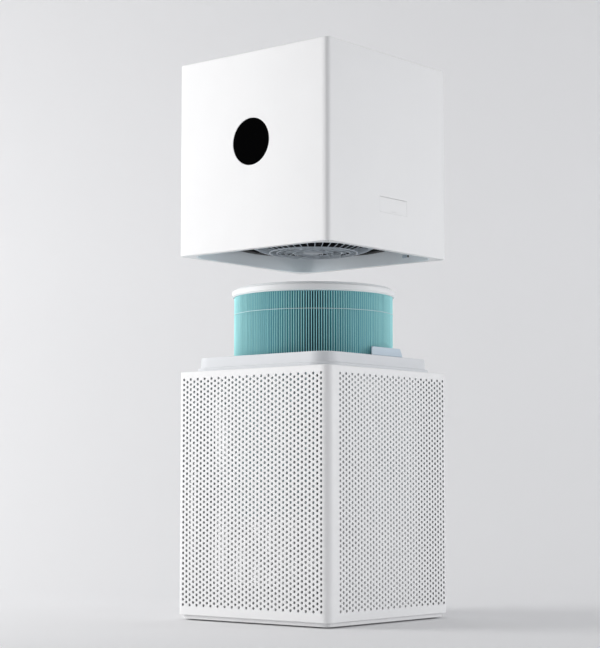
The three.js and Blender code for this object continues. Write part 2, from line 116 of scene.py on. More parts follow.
def grid_quads(rows: int, columns: int, wrap_rows: bool, wrap_columns: bool) -> Array:
    """Numbers the quads of a grid of points stored row after row.

    Args:
        rows: Number of rows of points.
        columns: Number of points in a row.
        wrap_rows: True if the last row joins the first.
        wrap_columns: True if each row closes on itself.

    Returns:
        One row of four point numbers for each quad.
    """
    i = np.arange(rows if wrap_rows else rows - 1)[:, None]
    j = np.arange(columns if wrap_columns else columns - 1)[None, :]
    i2, j2 = (i + 1) % rows, (j + 1) % columns
    corners = [i * columns + j, i * columns + j2, i2 * columns + j2, i2 * columns + j]
    return np.stack([np.broadcast_to(c, (i.size, j.size)) for c in corners], -1).reshape(-1, 4)


def loft(rings: Array, closed: bool = False) -> Surface:
    """Skins a stack of closed rings.

    Ring i, point j is joined to point j of ring i + 1. An open stack is capped by its
    first and last rings; a closed one joins its last ring to its first.

    Args:
        rings: Points, as rings by points by three.
        closed: True if the stack closes on itself, like a tyre.

    Returns:
        The closed surface.
    """
    count, size = rings.shape[:2]
    quads = grid_quads(count, size, closed, True)
    rims = []
    if not closed:
        rims = [np.arange(size)[::-1], np.arange(size) + (count - 1) * size]
    return Surface(rings.reshape(-1, 3), quads, rims)


def weld(surface: Surface, step: float = 2e-7) -> tuple[Array, Array, list[Array]]:
    """Merges points that share a place and drops the quads that shrink to nothing.

    Args:
        surface: The surface to merge.
        step: Points nearer than this become one.

    Returns:
        Points, quads and other faces; a quad with one side gone is given as a triangle.
    """
    keys = np.round(surface.points / step).astype(np.int64)
    _, first, back = np.unique(keys, axis=0, return_index=True, return_inverse=True)
    back = back.reshape(-1)
    quads = back[surface.quads]
    same = quads == np.roll(quads, -1, axis=1)
    lost = same.sum(1)
    triangles = quads[lost == 1][~same[lost == 1]].reshape(-1, 3)
    rims = [back[rim] for rim in surface.rims]
    return surface.points[first], quads[lost == 0], [*triangles, *rims]


def signed_volume(points: Array, faces: Array) -> float:
    """Volume inside fan-cut faces, negative when they look inwards."""
    total = 0.0
    for k in range(1, faces.shape[1] - 1):
        a, b, c = points[faces[:, 0]], points[faces[:, k]], points[faces[:, k + 1]]
        total += float(np.einsum("ij,ij->", a, np.cross(b, c))) / 6.0
    return total


def mesh_from(name: str, surface: Surface, soften: float) -> bpy.types.Mesh:
    """Writes a surface into a mesh with outward faces and edges softened below an angle.

    Args:
        name: Name of the mesh.
        surface: The worked-out surface.
        soften: Edges flatter than this many degrees are shaded smooth.

    Returns:
        The mesh.
    """
    points, quads, others = weld(surface)
    volume = signed_volume(points, quads) if len(quads) else 0.0
    for face in others:
        volume += signed_volume(points, np.asarray(face)[None, :])
    if volume < 0.0:
        quads, others = quads[:, ::-1], [face[::-1] for face in others]
    mesh = bpy.data.meshes.new(name)
    sizes = np.concatenate([np.full(len(quads), 4), [len(f) for f in others]]).astype(np.int32)
    corners = np.concatenate([quads.reshape(-1), *others]).astype(np.int32)
    mesh.vertices.add(len(points))
    mesh.vertices.foreach_set("co", points.astype(np.float32).reshape(-1))
    mesh.loops.add(len(corners))
    mesh.loops.foreach_set("vertex_index", corners)
    mesh.polygons.add(len(sizes))
    starts = np.concatenate([[0], np.cumsum(sizes)[:-1]]).astype(np.int32)
    mesh.polygons.foreach_set("loop_start", starts)
    mesh.polygons.foreach_set("use_smooth", np.ones(len(sizes), bool))
    mesh.update(calc_edges=True)
    mesh.validate()
    mesh.set_sharp_from_angle(angle=math.radians(soften))
    return mesh


def rounded_path(corners: Sequence[tuple[float, float, float]], steps: int = 4) -> Array:
    """Walks round a closed section whose corners are rounded off.

    Each corner (a, b, r) is replaced by an arc of radius r that touches both sides; r of
    zero keeps it sharp.

    Args:
        corners: Section corners in order, as position, height and rounding.
        steps: Pieces in each arc.

    Returns:
        Section points, two numbers each.
    """
    xy = np.array([c[:2] for c in corners], float)
    out = []
    for k, (_, _, r) in enumerate(corners):
        here, back, on = xy[k], xy[k - 1], xy[(k + 1) % len(xy)]
        u, v = back - here, on - here
        lu, lv = np.linalg.norm(u), np.linalg.norm(v)
        u, v = u / lu, v / lv
        half = math.acos(float(np.clip(u @ v, -1.0, 1.0))) / 2.0
        if r <= 0.0 or half > 1.55:
            out.append(here[None, :])
            continue
        r = min(r, 0.49 * min(lu, lv) * math.tan(half))
        centre = here + (u + v) / np.linalg.norm(u + v) * r / math.sin(half)
        a, b = here + u * r / math.tan(half) - centre, here + v * r / math.tan(half) - centre
        t = np.linspace(0.0, 1.0, steps + 1)[:, None]
        swing = math.pi - 2.0 * half
        arc = (np.sin((1 - t) * swing) * a + np.sin(t * swing) * b) / math.sin(swing)
        out.append(centre + arc)
    return np.concatenate(out)


def square_reach(theta: Array, half: float, radius: float) -> Array:
    """Distance from the axis to a rounded square, in each direction.

    On a flat it is half over the larger of |cos| and |sin|; on a corner it is where the
    ray meets the corner's circle.

    Args:
        theta: Directions in radians.
        half: Half the width of the square.
        radius: Radius of its corners.

    Returns:
        Distances, one for each direction.
    """
    c, s = np.abs(np.cos(theta)), np.abs(np.sin(theta))
    flat = half / np.maximum(c, s)
    inset = half - radius
    along = inset * (c + s)
    arc = along + np.sqrt(np.maximum(along**2 - 2 * inset**2 + radius**2, 0.0))
    return np.where(flat * np.minimum(c, s) > inset, arc, flat)


def directions(squares: Iterable[tuple[float, float]], arc: int = 7, flat: int = 12) -> Array:
    """Directions that catch the corners of several rounded squares exactly.

    Args:
        squares: Half width and corner radius of each square.
        arc: Steps in each quarter corner.
        flat: Steps along each half side.

    Returns:
        Directions over a whole turn, in order.
    """
    quarter = [np.linspace(0.0, math.pi / 4, flat + 1)]
    for half, radius in squares:
        a = np.linspace(0.0, math.pi / 4, arc + 1)
        x, y = half - radius + radius * np.cos(a), half - radius + radius * np.sin(a)
        quarter.append(np.arctan2(y, x))
    eighth = np.unique(np.round(np.concatenate(quarter), 5))
    gaps = np.concatenate([[True], np.diff(eighth) > 0.0035])
    eighth = eighth[gaps & (eighth < math.pi / 4 - 1e-3)]
    quarter_turn = np.concatenate([eighth, [math.pi / 4], (math.pi / 2 - eighth[1:])[::-1]])
    return np.concatenate([quarter_turn + k * math.pi / 2 for k in range(4)])


def ring(theta: Array, reach: Array | float, z: float) -> Array:
    """A level ring of points at a distance from the axis in each direction."""
    reach = np.broadcast_to(reach, theta.shape)
    return np.stack([reach * np.cos(theta), reach * np.sin(theta), np.full(theta.shape, z)], -1)


def band(r0: float, r1: float, z0: float, z1: float, rounding: Sequence[float], steps: int = 4) -> Array:
    """Section of a level band with four rounded corners.

    Args:
        r0: Inner radius.
        r1: Outer radius.
        z0: Lower height.
        z1: Upper height.
        rounding: Rounding of the lower inner, lower outer, upper outer and upper inner corner.
        steps: Pieces in each arc.

    Returns:
        Section points, as radius and height.
    """
    places = [(r0, z0), (r1, z0), (r1, z1), (r0, z1)]
    return rounded_path([(r, z, soft) for (r, z), soft in zip(places, rounding)], steps)


def revolve(section: Array, steps: int) -> Surface:
    """Turns a closed section of radius and height once round the upright axis."""
    theta = np.linspace(0.0, TURN, steps, endpoint=False)
    r, z = section[:, 0, None], section[:, 1, None]
    x, y = r * np.cos(theta), r * np.sin(theta)
    return loft(np.stack([x, y, np.broadcast_to(z, x.shape)], -1), closed=True)


def revolve_across(section: Array, steps: int, centre: tuple[float, float], sign: float) -> Surface:
    """Turns a section once round a level axis that runs front to back.

    Args:
        section: Radius from the level axis, and place along +Y.
        steps: Steps round the axis.
        centre: X and Z of the axis.
        sign: Minus one for a piece on the front, one for the back.

    Returns:
        The turned surface.
    """
    theta = np.linspace(0.0, TURN, steps, endpoint=False) * sign
    r, y = section[:, 0, None], section[:, 1, None]
    x, z = centre[0] + r * np.cos(theta), centre[1] + r * np.sin(theta)
    return loft(np.stack([x, np.broadcast_to(y, x.shape), z], -1), closed=True)


def plate(width: float, height: float, corner: float, section: Array) -> Surface:
    """A flat plate: a rounded rectangle carried through a section of inset and depth.

    The outline at inset d is the rectangle drawn in by d, its corners keeping the same
    centres, so every edge has the section's rounding.

    Args:
        width: Size along the first direction.
        height: Size along the second direction.
        corner: Corner radius of the outline.
        section: Inset and depth of each ring, from the back face to the front face.

    Returns:
        The plate, centred, in the plane of X and Y, with depth along Z.
    """
    a = np.linspace(0.0, math.pi / 2, 6)
    quadrant = np.stack([np.cos(a), np.sin(a)], -1)
    signs = [(1, 1), (-1, 1), (-1, -1), (1, -1)]
    rings = []
    for inset, depth in section:
        r = max(corner - inset, 1e-5)
        cx, cy = width / 2 - inset - r, height / 2 - inset - r
        parts = []
        for k, (sx, sy) in enumerate(signs):
            arc = quadrant if k % 2 == 0 else quadrant[::-1]
            parts.append((arc * r + (cx, cy)) * (sx, sy))
        flat = np.concatenate(parts)
        rings.append(np.column_stack([flat, np.full(len(flat), depth)]))
    return loft(np.array(rings))


def facing(surface: Surface, axes: Array, origin: Sequence[float]) -> Surface:
    """Carries a surface drawn in X, Y, Z onto three given axes at an origin."""
    points = surface.points @ np.asarray(axes, float) + np.asarray(origin)
    return Surface(points, surface.quads, surface.rims)


def bar(path: Array, width: float, height: float, sides: int = 6) -> Surface:
    """A slim bar with a rounded section, carried along a path in the radial plane.

    Every section is an ellipse-like ring of the given width and height, standing square
    to the path; the bar is capped at both ends.

    Args:
        path: Points as distance out, sideways shift and height.
        width: Width across.
        height: Depth of the bar.
        sides: Corners of its section.

    Returns:
        The bar, pointing along +X.
    """
    along = np.gradient(path, axis=0)
    along /= np.linalg.norm(along, axis=1, keepdims=True)
    side = np.cross(np.array([0.0, 0.0, 1.0]), along)
    side /= np.linalg.norm(side, axis=1, keepdims=True)
    up = np.cross(along, side)
    a = np.linspace(0.0, TURN, sides, endpoint=False) + math.pi / sides
    ca, sa = np.cos(a)[None, :, None], np.sin(a)[None, :, None]
    grow = 1.0 / math.cos(math.pi / sides)
    rings = path[:, None] + side[:, None] * ca * width / 2 * grow + up[:, None] * sa * height / 2 * grow
    return loft(rings)


def repeated(surface: Surface, count: int, start: float = 0.0) -> Surface:
    """Copies a surface evenly round the upright axis, all copies worked out at once."""
    a = start + np.arange(count) * TURN / count
    c, s = np.cos(a)[:, None], np.sin(a)[:, None]
    x, y, z = surface.points.T
    points = np.stack([x * c - y * s, x * s + y * c, np.broadcast_to(z, (count, len(z)))], -1)
    steps = np.arange(count) * len(x)
    quads = (surface.quads[None] + steps[:, None, None]).reshape(-1, 4)
    rims = [rim + k for k in steps for rim in surface.rims]
    return Surface(points.reshape(-1, 3), quads, rims)


# --------------------------------------------------------------------------------------
# Finishes
# --------------------------------------------------------------------------------------
class Graph:
    """Short-hand for adding and wiring the nodes of a tree."""

    def __init__(self, tree: bpy.types.NodeTree) -> None:
        """Keeps the tree that nodes are added to."""
        self.tree = tree

    def add(self, kind: str, **values: object) -> bpy.types.Node:
        """Adds a node, setting its properties and then its unlinked inputs.

        Args:
            kind: The node's type name.
            values: Properties by name, or inputs by name with underscores for spaces.

        Returns:
            The node.
        """
        node = self.tree.nodes.new(kind)
        for key, value in values.items():
            if hasattr(node, key):
                setattr(node, key, value)
        for key, value in values.items():
            label = key.replace("_", " ")
            if not hasattr(node, key):
                node.inputs[label].default_value = value
        return node

    def link(self, source: bpy.types.NodeSocket, target: bpy.types.NodeSocket) -> None:
        """Wires one socket to another."""
        self.tree.links.new(source, target)

    def level_reach(self, split: bpy.types.Node) -> bpy.types.NodeSocket:
        """Gives the distance from the upright axis of a place split into X, Y and Z."""
        across, deep = (self.math("POWER", split.outputs[axis], 2.0) for axis in "XY")
        return self.math("SQRT", self.math("ADD", across, deep))

    def math(self, operation: str, a: object, b: object = 0.0) -> bpy.types.NodeSocket:
        """Adds one sum and gives its result.

        Args:
            operation: Name of the sum.
            a: First number or socket.
            b: Second number or socket.

        Returns:
            The result's socket.
        """
        node = self.add("ShaderNodeMath", operation=operation)
        for slot, value in zip(node.inputs, (a, b)):
            if isinstance(value, bpy.types.NodeSocket):
                self.link(value, slot)
            else:
                slot.default_value = value
        return node.outputs[0]

    def mix(self, factor: object, a: object, b: object) -> bpy.types.NodeSocket:
        """Mixes two colours by a factor and gives the mixed colour."""
        node = self.add("ShaderNodeMix", data_type="RGBA")
        for slot, value in ((node.inputs[0], factor), (node.inputs[6], a), (node.inputs[7], b)):
            if isinstance(value, bpy.types.NodeSocket):
                self.link(value, slot)
            else:
                slot.default_value = value if slot is node.inputs[0] else (*value, 1.0)
        return node.outputs[2]

    def spread(self, value: object, low: float, high: float,
               to_low: float, to_high: float) -> bpy.types.NodeSocket:
        """Maps a value from one span to another, held at both ends."""
        node = self.add("ShaderNodeMapRange", clamp=True)
        self.link(value, node.inputs[0])
        for slot, number in zip(node.inputs[1:5], (low, high, to_low, to_high)):
            slot.default_value = number
        return node.outputs[0]


def effect(name: str, inputs: dict[str, object], outputs: dict[str, str],
           wire: Callable) -> bpy.types.NodeTree:
    """Builds a shared effect once, as a node group with named sockets.

    Args:
        name: Name of the effect.
        inputs: Input names with their starting value; a tuple makes a colour.
        outputs: Output names with their socket type.
        wire: Called with the graph, the input node and the output node.

    Returns:
        The node group.
    """
    if name in bpy.data.node_groups:
        return bpy.data.node_groups[name]
    tree = bpy.data.node_groups.new(name, "ShaderNodeTree")
    for key, value in inputs.items():
        kind = "NodeSocketColor" if isinstance(value, tuple) else "NodeSocketFloat"
        socket = tree.interface.new_socket(name=key, in_out="INPUT", socket_type=kind)
        socket.default_value = (*value, 1.0) if isinstance(value, tuple) else value
    for key, kind in outputs.items():
        tree.interface.new_socket(name=key, in_out="OUTPUT", socket_type=kind)
    graph = Graph(tree)
    wire(graph, graph.add("NodeGroupInput"), graph.add("NodeGroupOutput"))
    return tree


def wire_grain(g: Graph, given: bpy.types.Node, out: bpy.types.Node) -> None:
    """Wires moulded grain: a fine pitted height, patchy gloss and a faint cast in the colour."""
    place = g.add("ShaderNodeTexCoord").outputs["Object"]
    fine = g.add("ShaderNodeTexNoise", Detail=3.0, Roughness=0.6)
    broad = g.add("ShaderNodeTexNoise", Scale=9.0, Detail=4.0, Roughness=0.55)
    patch = g.add("ShaderNodeTexNoise", Scale=55.0, Detail=3.0)
    for node in (fine, broad, patch):
        g.link(place, node.inputs["Vector"])
    g.link(given.outputs["Scale"], fine.inputs["Scale"])
    shade = g.spread(broad.outputs["Fac"], 0.3, 0.7, -1.0, 1.0)
    shade = g.math("MULTIPLY", shade, given.outputs["Mottle"])
    hsv = g.add("ShaderNodeHueSaturation")
    g.link(g.math("ADD", shade, 1.0), hsv.inputs["Value"])
    g.link(given.outputs["Colour"], hsv.inputs["Color"])
    g.link(hsv.outputs["Color"], out.inputs["Colour"])
    gloss = g.spread(patch.outputs["Fac"], 0.35, 0.65, -1.0, 1.0)
    gloss = g.math("MULTIPLY", gloss, given.outputs["Patchiness"])
    g.link(g.math("ADD", gloss, given.outputs["Roughness"]), out.inputs["Roughness"])
    g.link(fine.outputs["Fac"], out.inputs["Height"])


def wire_wear(g: Graph, given: bpy.types.Node, out: bpy.types.Node) -> None:
    """Wires edge wear: sharp outer edges take on the worn colour, broken up by noise."""
    point = g.spread(g.add("ShaderNodeNewGeometry").outputs["Pointiness"], 0.52, 0.6, 0.0, 1.0)
    noise = g.add("ShaderNodeTexNoise", Scale=160.0, Detail=3.0)
    g.link(g.add("ShaderNodeTexCoord").outputs["Object"], noise.inputs["Vector"])
    broken = g.math("MULTIPLY", point, g.spread(noise.outputs["Fac"], 0.35, 0.65, 0.3, 1.0))
    amount = g.math("MULTIPLY", broken, given.outputs["Amount"])
    g.link(g.mix(amount, given.outputs["Colour"], given.outputs["Worn"]), out.inputs["Colour"])


def wire_dust(g: Graph, given: bpy.types.Node, out: bpy.types.Node) -> None:
    """Wires dust: a pale film in patches on whatever faces up."""
    up = g.add("ShaderNodeSeparateXYZ")
    g.link(g.add("ShaderNodeNewGeometry").outputs["Normal"], up.inputs[0])
    noise = g.add("ShaderNodeTexNoise", Scale=38.0, Detail=6.0, Roughness=0.7)
    g.link(g.add("ShaderNodeTexCoord").outputs["Object"], noise.inputs["Vector"])
    film = g.math("MULTIPLY", g.spread(up.outputs["Z"], 0.2, 0.95, 0.0, 1.0), noise.outputs["Fac"])
    amount = g.math("MULTIPLY", film, given.outputs["Amount"])
    g.link(g.mix(amount, given.outputs["Colour"], given.outputs["Dust"]), out.inputs["Colour"])
    duller = g.math("MULTIPLY", amount, 0.5)
    g.link(g.math("ADD", given.outputs["Roughness"], duller), out.inputs["Roughness"])


def wire_fibre(g: Graph, given: bpy.types.Node, out: bpy.types.Node) -> None:
    """Wires matted fibre: flecks drawn out along the upright, with a felted height."""
    stretch = g.add("ShaderNodeMapping")
    g.link(g.add("ShaderNodeTexCoord").outputs["Object"], stretch.inputs["Vector"])
    stretch.inputs["Scale"].default_value = (1.0, 1.0, 0.22)
    noise = g.add("ShaderNodeTexNoise", Detail=5.0, Roughness=0.7)
    g.link(stretch.outputs[0], noise.inputs["Vector"])
    g.link(given.outputs["Scale"], noise.inputs["Scale"])
    fleck = g.math("MULTIPLY", g.spread(noise.outputs["Fac"], 0.35, 0.7, 0.0, 1.0), given.outputs["Fleck"])
    g.link(g.mix(fleck, given.outputs["Colour"], given.outputs["Light"]), out.inputs["Colour"])
    g.link(noise.outputs["Fac"], out.inputs["Height"])


def wire_turning(g: Graph, given: bpy.types.Node, out: bpy.types.Node) -> None:
    """Wires tool marks: fine rings round the upright axis in gloss and height."""
    split = g.add("ShaderNodeSeparateXYZ")
    g.link(g.add("ShaderNodeTexCoord").outputs["Object"], split.inputs[0])
    reach = g.level_reach(split)
    join = g.add("ShaderNodeCombineXYZ")
    g.link(reach, join.inputs["X"])
    g.link(split.outputs["Z"], join.inputs["Z"])
    noise = g.add("ShaderNodeTexNoise", Scale=2600.0, Detail=2.0)
    g.link(join.outputs[0], noise.inputs["Vector"])
    gloss = g.math("MULTIPLY", noise.outputs["Fac"], 0.16)
    g.link(g.math("ADD", gloss, given.outputs["Roughness"]), out.inputs["Roughness"])
    g.link(noise.outputs["Fac"], out.inputs["Height"])


def wire_outward(g: Graph, given: bpy.types.Node, out: bpy.types.Node) -> None:
    """Wires paper that passes light on: its normal leans towards straight out from the axis."""
    split = g.add("ShaderNodeSeparateXYZ")
    g.link(g.add("ShaderNodeTexCoord").outputs["Object"], split.inputs[0])
    flat = g.add("ShaderNodeCombineXYZ")
    g.link(split.outputs["X"], flat.inputs["X"])
    g.link(split.outputs["Y"], flat.inputs["Y"])
    unit = g.add("ShaderNodeVectorMath", operation="NORMALIZE")
    g.link(flat.outputs[0], unit.inputs[0])
    lean = g.add("ShaderNodeMix", data_type="VECTOR")
    g.link(given.outputs["Share"], lean.inputs[0])
    g.link(g.add("ShaderNodeNewGeometry").outputs["Normal"], lean.inputs[4])
    g.link(unit.outputs[0], lean.inputs[5])
    final = g.add("ShaderNodeVectorMath", operation="NORMALIZE")
    g.link(lean.outputs[1], final.inputs[0])
    g.link(final.outputs[0], out.inputs["Normal"])


COLOUR, VALUE, VECTOR = "NodeSocketColor", "NodeSocketFloat", "NodeSocketVector"


def grain() -> bpy.types.NodeTree:
    """The moulded-grain effect."""
    inputs = {"Colour": (0.8, 0.8, 0.8), "Roughness": 0.4, "Scale": 2200.0, "Mottle": 0.01,
              "Patchiness": 0.03}
    outputs = {"Colour": COLOUR, "Roughness": VALUE, "Height": VALUE}
    return effect("moulded_grain", inputs, outputs, wire_grain)


def wear() -> bpy.types.NodeTree:
    """The edge-wear effect."""
    inputs = {"Colour": (0.8, 0.8, 0.8), "Worn": (0.9, 0.9, 0.9), "Amount": 0.2}
    return effect("edge_wear", inputs, {"Colour": COLOUR}, wire_wear)


def dust() -> bpy.types.NodeTree:
    """The settled-dust effect."""
    inputs = {"Colour": (0.8, 0.8, 0.8), "Dust": (0.7, 0.69, 0.66), "Roughness": 0.4, "Amount": 0.1}
    return effect("settled_dust", inputs, {"Colour": COLOUR, "Roughness": VALUE}, wire_dust)


def fibre() -> bpy.types.NodeTree:
    """The matted-fibre effect."""
    inputs = {"Colour": (0.2, 0.5, 0.6), "Light": (0.8, 0.9, 0.95), "Scale": 900.0, "Fleck": 0.3}
    return effect("matted_fibre", inputs, {"Colour": COLOUR, "Height": VALUE}, wire_fibre)


def turning() -> bpy.types.NodeTree:
    """The tool-mark effect."""
    return effect("tool_marks", {"Roughness": 0.3}, {"Roughness": VALUE, "Height": VALUE}, wire_turning)


def outward() -> bpy.types.NodeTree:
    """The effect of folds that pass light on to each other."""
    return effect("passed_light", {"Share": 0.5}, {"Normal": VECTOR}, wire_outward)


def placed(g: Graph, tree: bpy.types.NodeTree, **values: object) -> bpy.types.Node:
    """Places a shared effect in a material with its own values.

    Args:
        g: The material's graph.
        tree: The effect.
        values: Numbers, colours or sockets by input name.

    Returns:
        The group node.
    """
    node = g.add("ShaderNodeGroup", node_tree=tree)
    for key, value in values.items():
        slot = node.inputs[key]
        if isinstance(value, bpy.types.NodeSocket):
            g.link(value, slot)
        else:
            slot.default_value = (*value, 1.0) if isinstance(value, tuple) else value
    return node


@dataclass(frozen=True)
class Finish:
    """What every finish has: a name and a way to build its material once."""

    name: str

    def material(self) -> bpy.types.Material:
        """Gives the material, building it the first time."""
        if self.name in bpy.data.materials:
            return bpy.data.materials[self.name]
        made = bpy.data.materials.new(self.name)
        made.use_nodes = True
        made.node_tree.nodes.clear()
        graph = Graph(made.node_tree)
        shader = graph.add("ShaderNodeBsdfPrincipled")
        output = graph.add("ShaderNodeOutputMaterial")
        graph.link(shader.outputs[0], output.inputs["Surface"])
        self.wire(graph, shader)
        return made

    def wire(self, g: Graph, shader: bpy.types.Node) -> None:
        """Wires the finish into its shader; each kind of finish has its own."""
        raise NotImplementedError

    @staticmethod
    def bump(g: Graph, shader: bpy.types.Node, height: bpy.types.NodeSocket, depth: float) -> None:
        """Lifts the surface by a height pattern.

        Args:
            g: The material's graph.
            shader: The surface shader.
            height: The pattern.
            depth: How deep the pattern is, in metres.
        """
        node = g.add("ShaderNodeBump", Strength=1.0, Distance=depth)
        g.link(height, node.inputs["Height"])
        g.link(node.outputs[0], shader.inputs["Normal"])


@dataclass(frozen=True)
class Moulded(Finish):
    """Injection-moulded plastic with spark grain, slight edge wear and settled dust."""

    colour: Colour = (0.8, 0.8, 0.8)
    roughness: float = 0.42
    grain_scale: float = 2200.0
    grain_depth: float = 0.00001
    mottle: float = 0.008
    worn: float = 0.1
    dusty: float = 0.05
    specular: float = 0.45

    def wire(self, g: Graph, shader: bpy.types.Node) -> None:
        """Wires grain, then wear, then dust, into colour, gloss and height."""
        base = placed(g, grain(), Colour=self.colour, Roughness=self.roughness,
                      Scale=self.grain_scale, Mottle=self.mottle)
        lighter = tuple(min(1.0, c * 1.12 + 0.03) for c in self.colour)
        edge = placed(g, wear(), Colour=base.outputs["Colour"], Worn=lighter, Amount=self.worn)
        film = placed(g, dust(), Colour=edge.outputs["Colour"],
                      Roughness=base.outputs["Roughness"], Amount=self.dusty)
        g.link(film.outputs["Colour"], shader.inputs["Base Color"])
        g.link(film.outputs["Roughness"], shader.inputs["Roughness"])
        shader.inputs["Specular IOR Level"].default_value = self.specular
        self.bump(g, shader, base.outputs["Height"], self.grain_depth)


@dataclass(frozen=True)
class Polished(Finish):
    """Polished black display glass: deep colour under a clear coat with faint smears."""

    colour: Colour = (0.0008, 0.0008, 0.001)
    roughness: float = 0.12

    def wire(self, g: Graph, shader: bpy.types.Node) -> None:
        """Wires smears into the gloss and a clear coat over it."""
        base = placed(g, grain(), Colour=self.colour, Roughness=self.roughness,
                      Scale=420.0, Mottle=0.05, Patchiness=0.03)
        g.link(base.outputs["Colour"], shader.inputs["Base Color"])
        g.link(base.outputs["Roughness"], shader.inputs["Roughness"])
        shader.inputs["Specular IOR Level"].default_value = 0.0
        shader.inputs["Coat Weight"].default_value = 0.004
        shader.inputs["Coat Roughness"].default_value = 0.04


@dataclass(frozen=True)
class PleatPaper(Finish):
    """Folded filter paper: pale near the fold tips, partly the paper's colour and partly painted highlight,
    and near-black down in the folds as painted shade.
    """

    # tip is the pale colour near the fold tips, partly painted highlight; deep is the near-black of painted
    # shade down in the folds.
    tip: Colour = (0.44, 0.97, 1.0)
    wall: Colour = (0.006, 0.58, 0.86)
    deep: Colour = (0.002, 0.018, 0.030)
    tip_radius: float = 0.0995
    fold_depth: float = 0.009
    rounding: float = 0.8

    def wire(self, g: Graph, shader: bpy.types.Node) -> None:
        """Wires colour by how deep below the tips a point lies, darkening down into the folds as painted
        shade, with felted fibres.
        """
        split = g.add("ShaderNodeSeparateXYZ")
        g.link(g.add("ShaderNodeTexCoord").outputs["Object"], split.inputs[0])
        reach = g.level_reach(split)
        # Pale near the tips, partly painted highlight; near-black deeper in the folds, painted shade.
        pale_tip_and_highlight = g.spread(reach, self.tip_radius - 0.0042, self.tip_radius - 0.0004, 0.0, 1.0)
        out_of_fold_shade = g.spread(reach, self.tip_radius - self.fold_depth, self.tip_radius - 0.0015, 0.0, 1.0)
        fold = g.mix(pale_tip_and_highlight, g.mix(out_of_fold_shade, self.deep, self.wall), self.tip)
        felt = placed(g, fibre(), Colour=fold, Scale=1500.0, Fleck=0.03)
        glow = placed(g, outward(), Share=self.rounding)
        g.link(felt.outputs["Colour"], shader.inputs["Base Color"])
        shader.inputs["Roughness"].default_value = 0.55
        shader.inputs["Sheen Weight"].default_value = 0.12
        shader.inputs["Sheen Roughness"].default_value = 0.35
        shader.inputs["Specular IOR Level"].default_value = 0.5
        g.link(glow.outputs["Normal"], shader.inputs["Normal"])


@dataclass(frozen=True)
class Felted(Finish):
    """Foam or felt: open, matt and flecked."""

    colour: Colour = (0.75, 0.77, 0.8)
    scale: float = 700.0

    def wire(self, g: Graph, shader: bpy.types.Node) -> None:
        """Wires flecks into colour and pores into height."""
        felt = placed(g, fibre(), Colour=self.colour, Scale=self.scale, Fleck=0.35)
        g.link(felt.outputs["Colour"], shader.inputs["Base Color"])
        shader.inputs["Roughness"].default_value = 0.95
        self.bump(g, shader, felt.outputs["Height"], 0.0003)


@dataclass(frozen=True)
class Turned(Finish):
    """Bare metal with tool marks and a little tarnish."""

    colour: Colour = (0.62, 0.63, 0.65)
    roughness: float = 0.25

    def wire(self, g: Graph, shader: bpy.types.Node) -> None:
        """Wires tool marks into gloss and height over a mottled colour."""
        marks = placed(g, turning(), Roughness=self.roughness)
        tone = placed(g, grain(), Colour=self.colour, Mottle=0.06, Scale=600.0)
        g.link(tone.outputs["Colour"], shader.inputs["Base Color"])
        g.link(marks.outputs["Roughness"], shader.inputs["Roughness"])
        shader.inputs["Metallic"].default_value = 1.0
        self.bump(g, shader, marks.outputs["Height"], 0.00001)


@dataclass(frozen=True)
class Laminate(Finish):
    """Circuit-board laminate: lacquer over a woven board with copper runs showing."""

    colour: Colour = (0.012, 0.10, 0.05)

    def wire(self, g: Graph, shader: bpy.types.Node) -> None:
        """Wires copper runs as a brick pattern under the lacquer."""
        runs = g.add("ShaderNodeTexBrick", Scale=260.0, Mortar_Size=0.03)
        g.link(g.add("ShaderNodeTexCoord").outputs["Object"], runs.inputs["Vector"])
        tone = placed(g, grain(), Colour=self.colour, Roughness=0.35, Mottle=0.15, Scale=900.0)
        paler = tuple(min(1.0, c * 2.0 + 0.02) for c in self.colour)
        g.link(g.mix(runs.outputs["Fac"], tone.outputs["Colour"], paler), shader.inputs["Base Color"])
        g.link(tone.outputs["Roughness"], shader.inputs["Roughness"])
        shader.inputs["Coat Weight"].default_value = 0.3
        self.bump(g, shader, tone.outputs["Height"], 0.00003)


@dataclass(frozen=True)
class Rubber(Finish):
    """Dark matt rubber, scuffed paler on its edges."""

    colour: Colour = (0.02, 0.02, 0.022)

    def wire(self, g: Graph, shader: bpy.types.Node) -> None:
        """Wires coarse grain and scuffs."""
        base = placed(g, grain(), Colour=self.colour, Roughness=0.8, Scale=900.0, Mottle=0.1)
        edge = placed(g, wear(), Colour=base.outputs["Colour"], Worn=(0.1, 0.1, 0.1), Amount=0.4)
        g.link(edge.outputs["Colour"], shader.inputs["Base Color"])
        g.link(base.outputs["Roughness"], shader.inputs["Roughness"])
        self.bump(g, shader, base.outputs["Height"], 0.00006)


@dataclass(frozen=True)
class Backdrop(Finish):
    """Plain matt studio paper, seen from its front only."""

    colour: Colour = (0.82, 0.82, 0.83)

    def wire(self, g: Graph, shader: bpy.types.Node) -> None:
        """Sets an even matt colour, and clears the sheet from behind."""
        back = g.add("ShaderNodeNewGeometry").outputs["Backfacing"]
        g.link(g.math("SUBTRACT", 1.0, back), shader.inputs["Alpha"])
        shader.inputs["Base Color"].default_value = (*self.colour, 1.0)
        shader.inputs["Roughness"].default_value = 0.9
        shader.inputs["Specular IOR Level"].default_value = 0.1


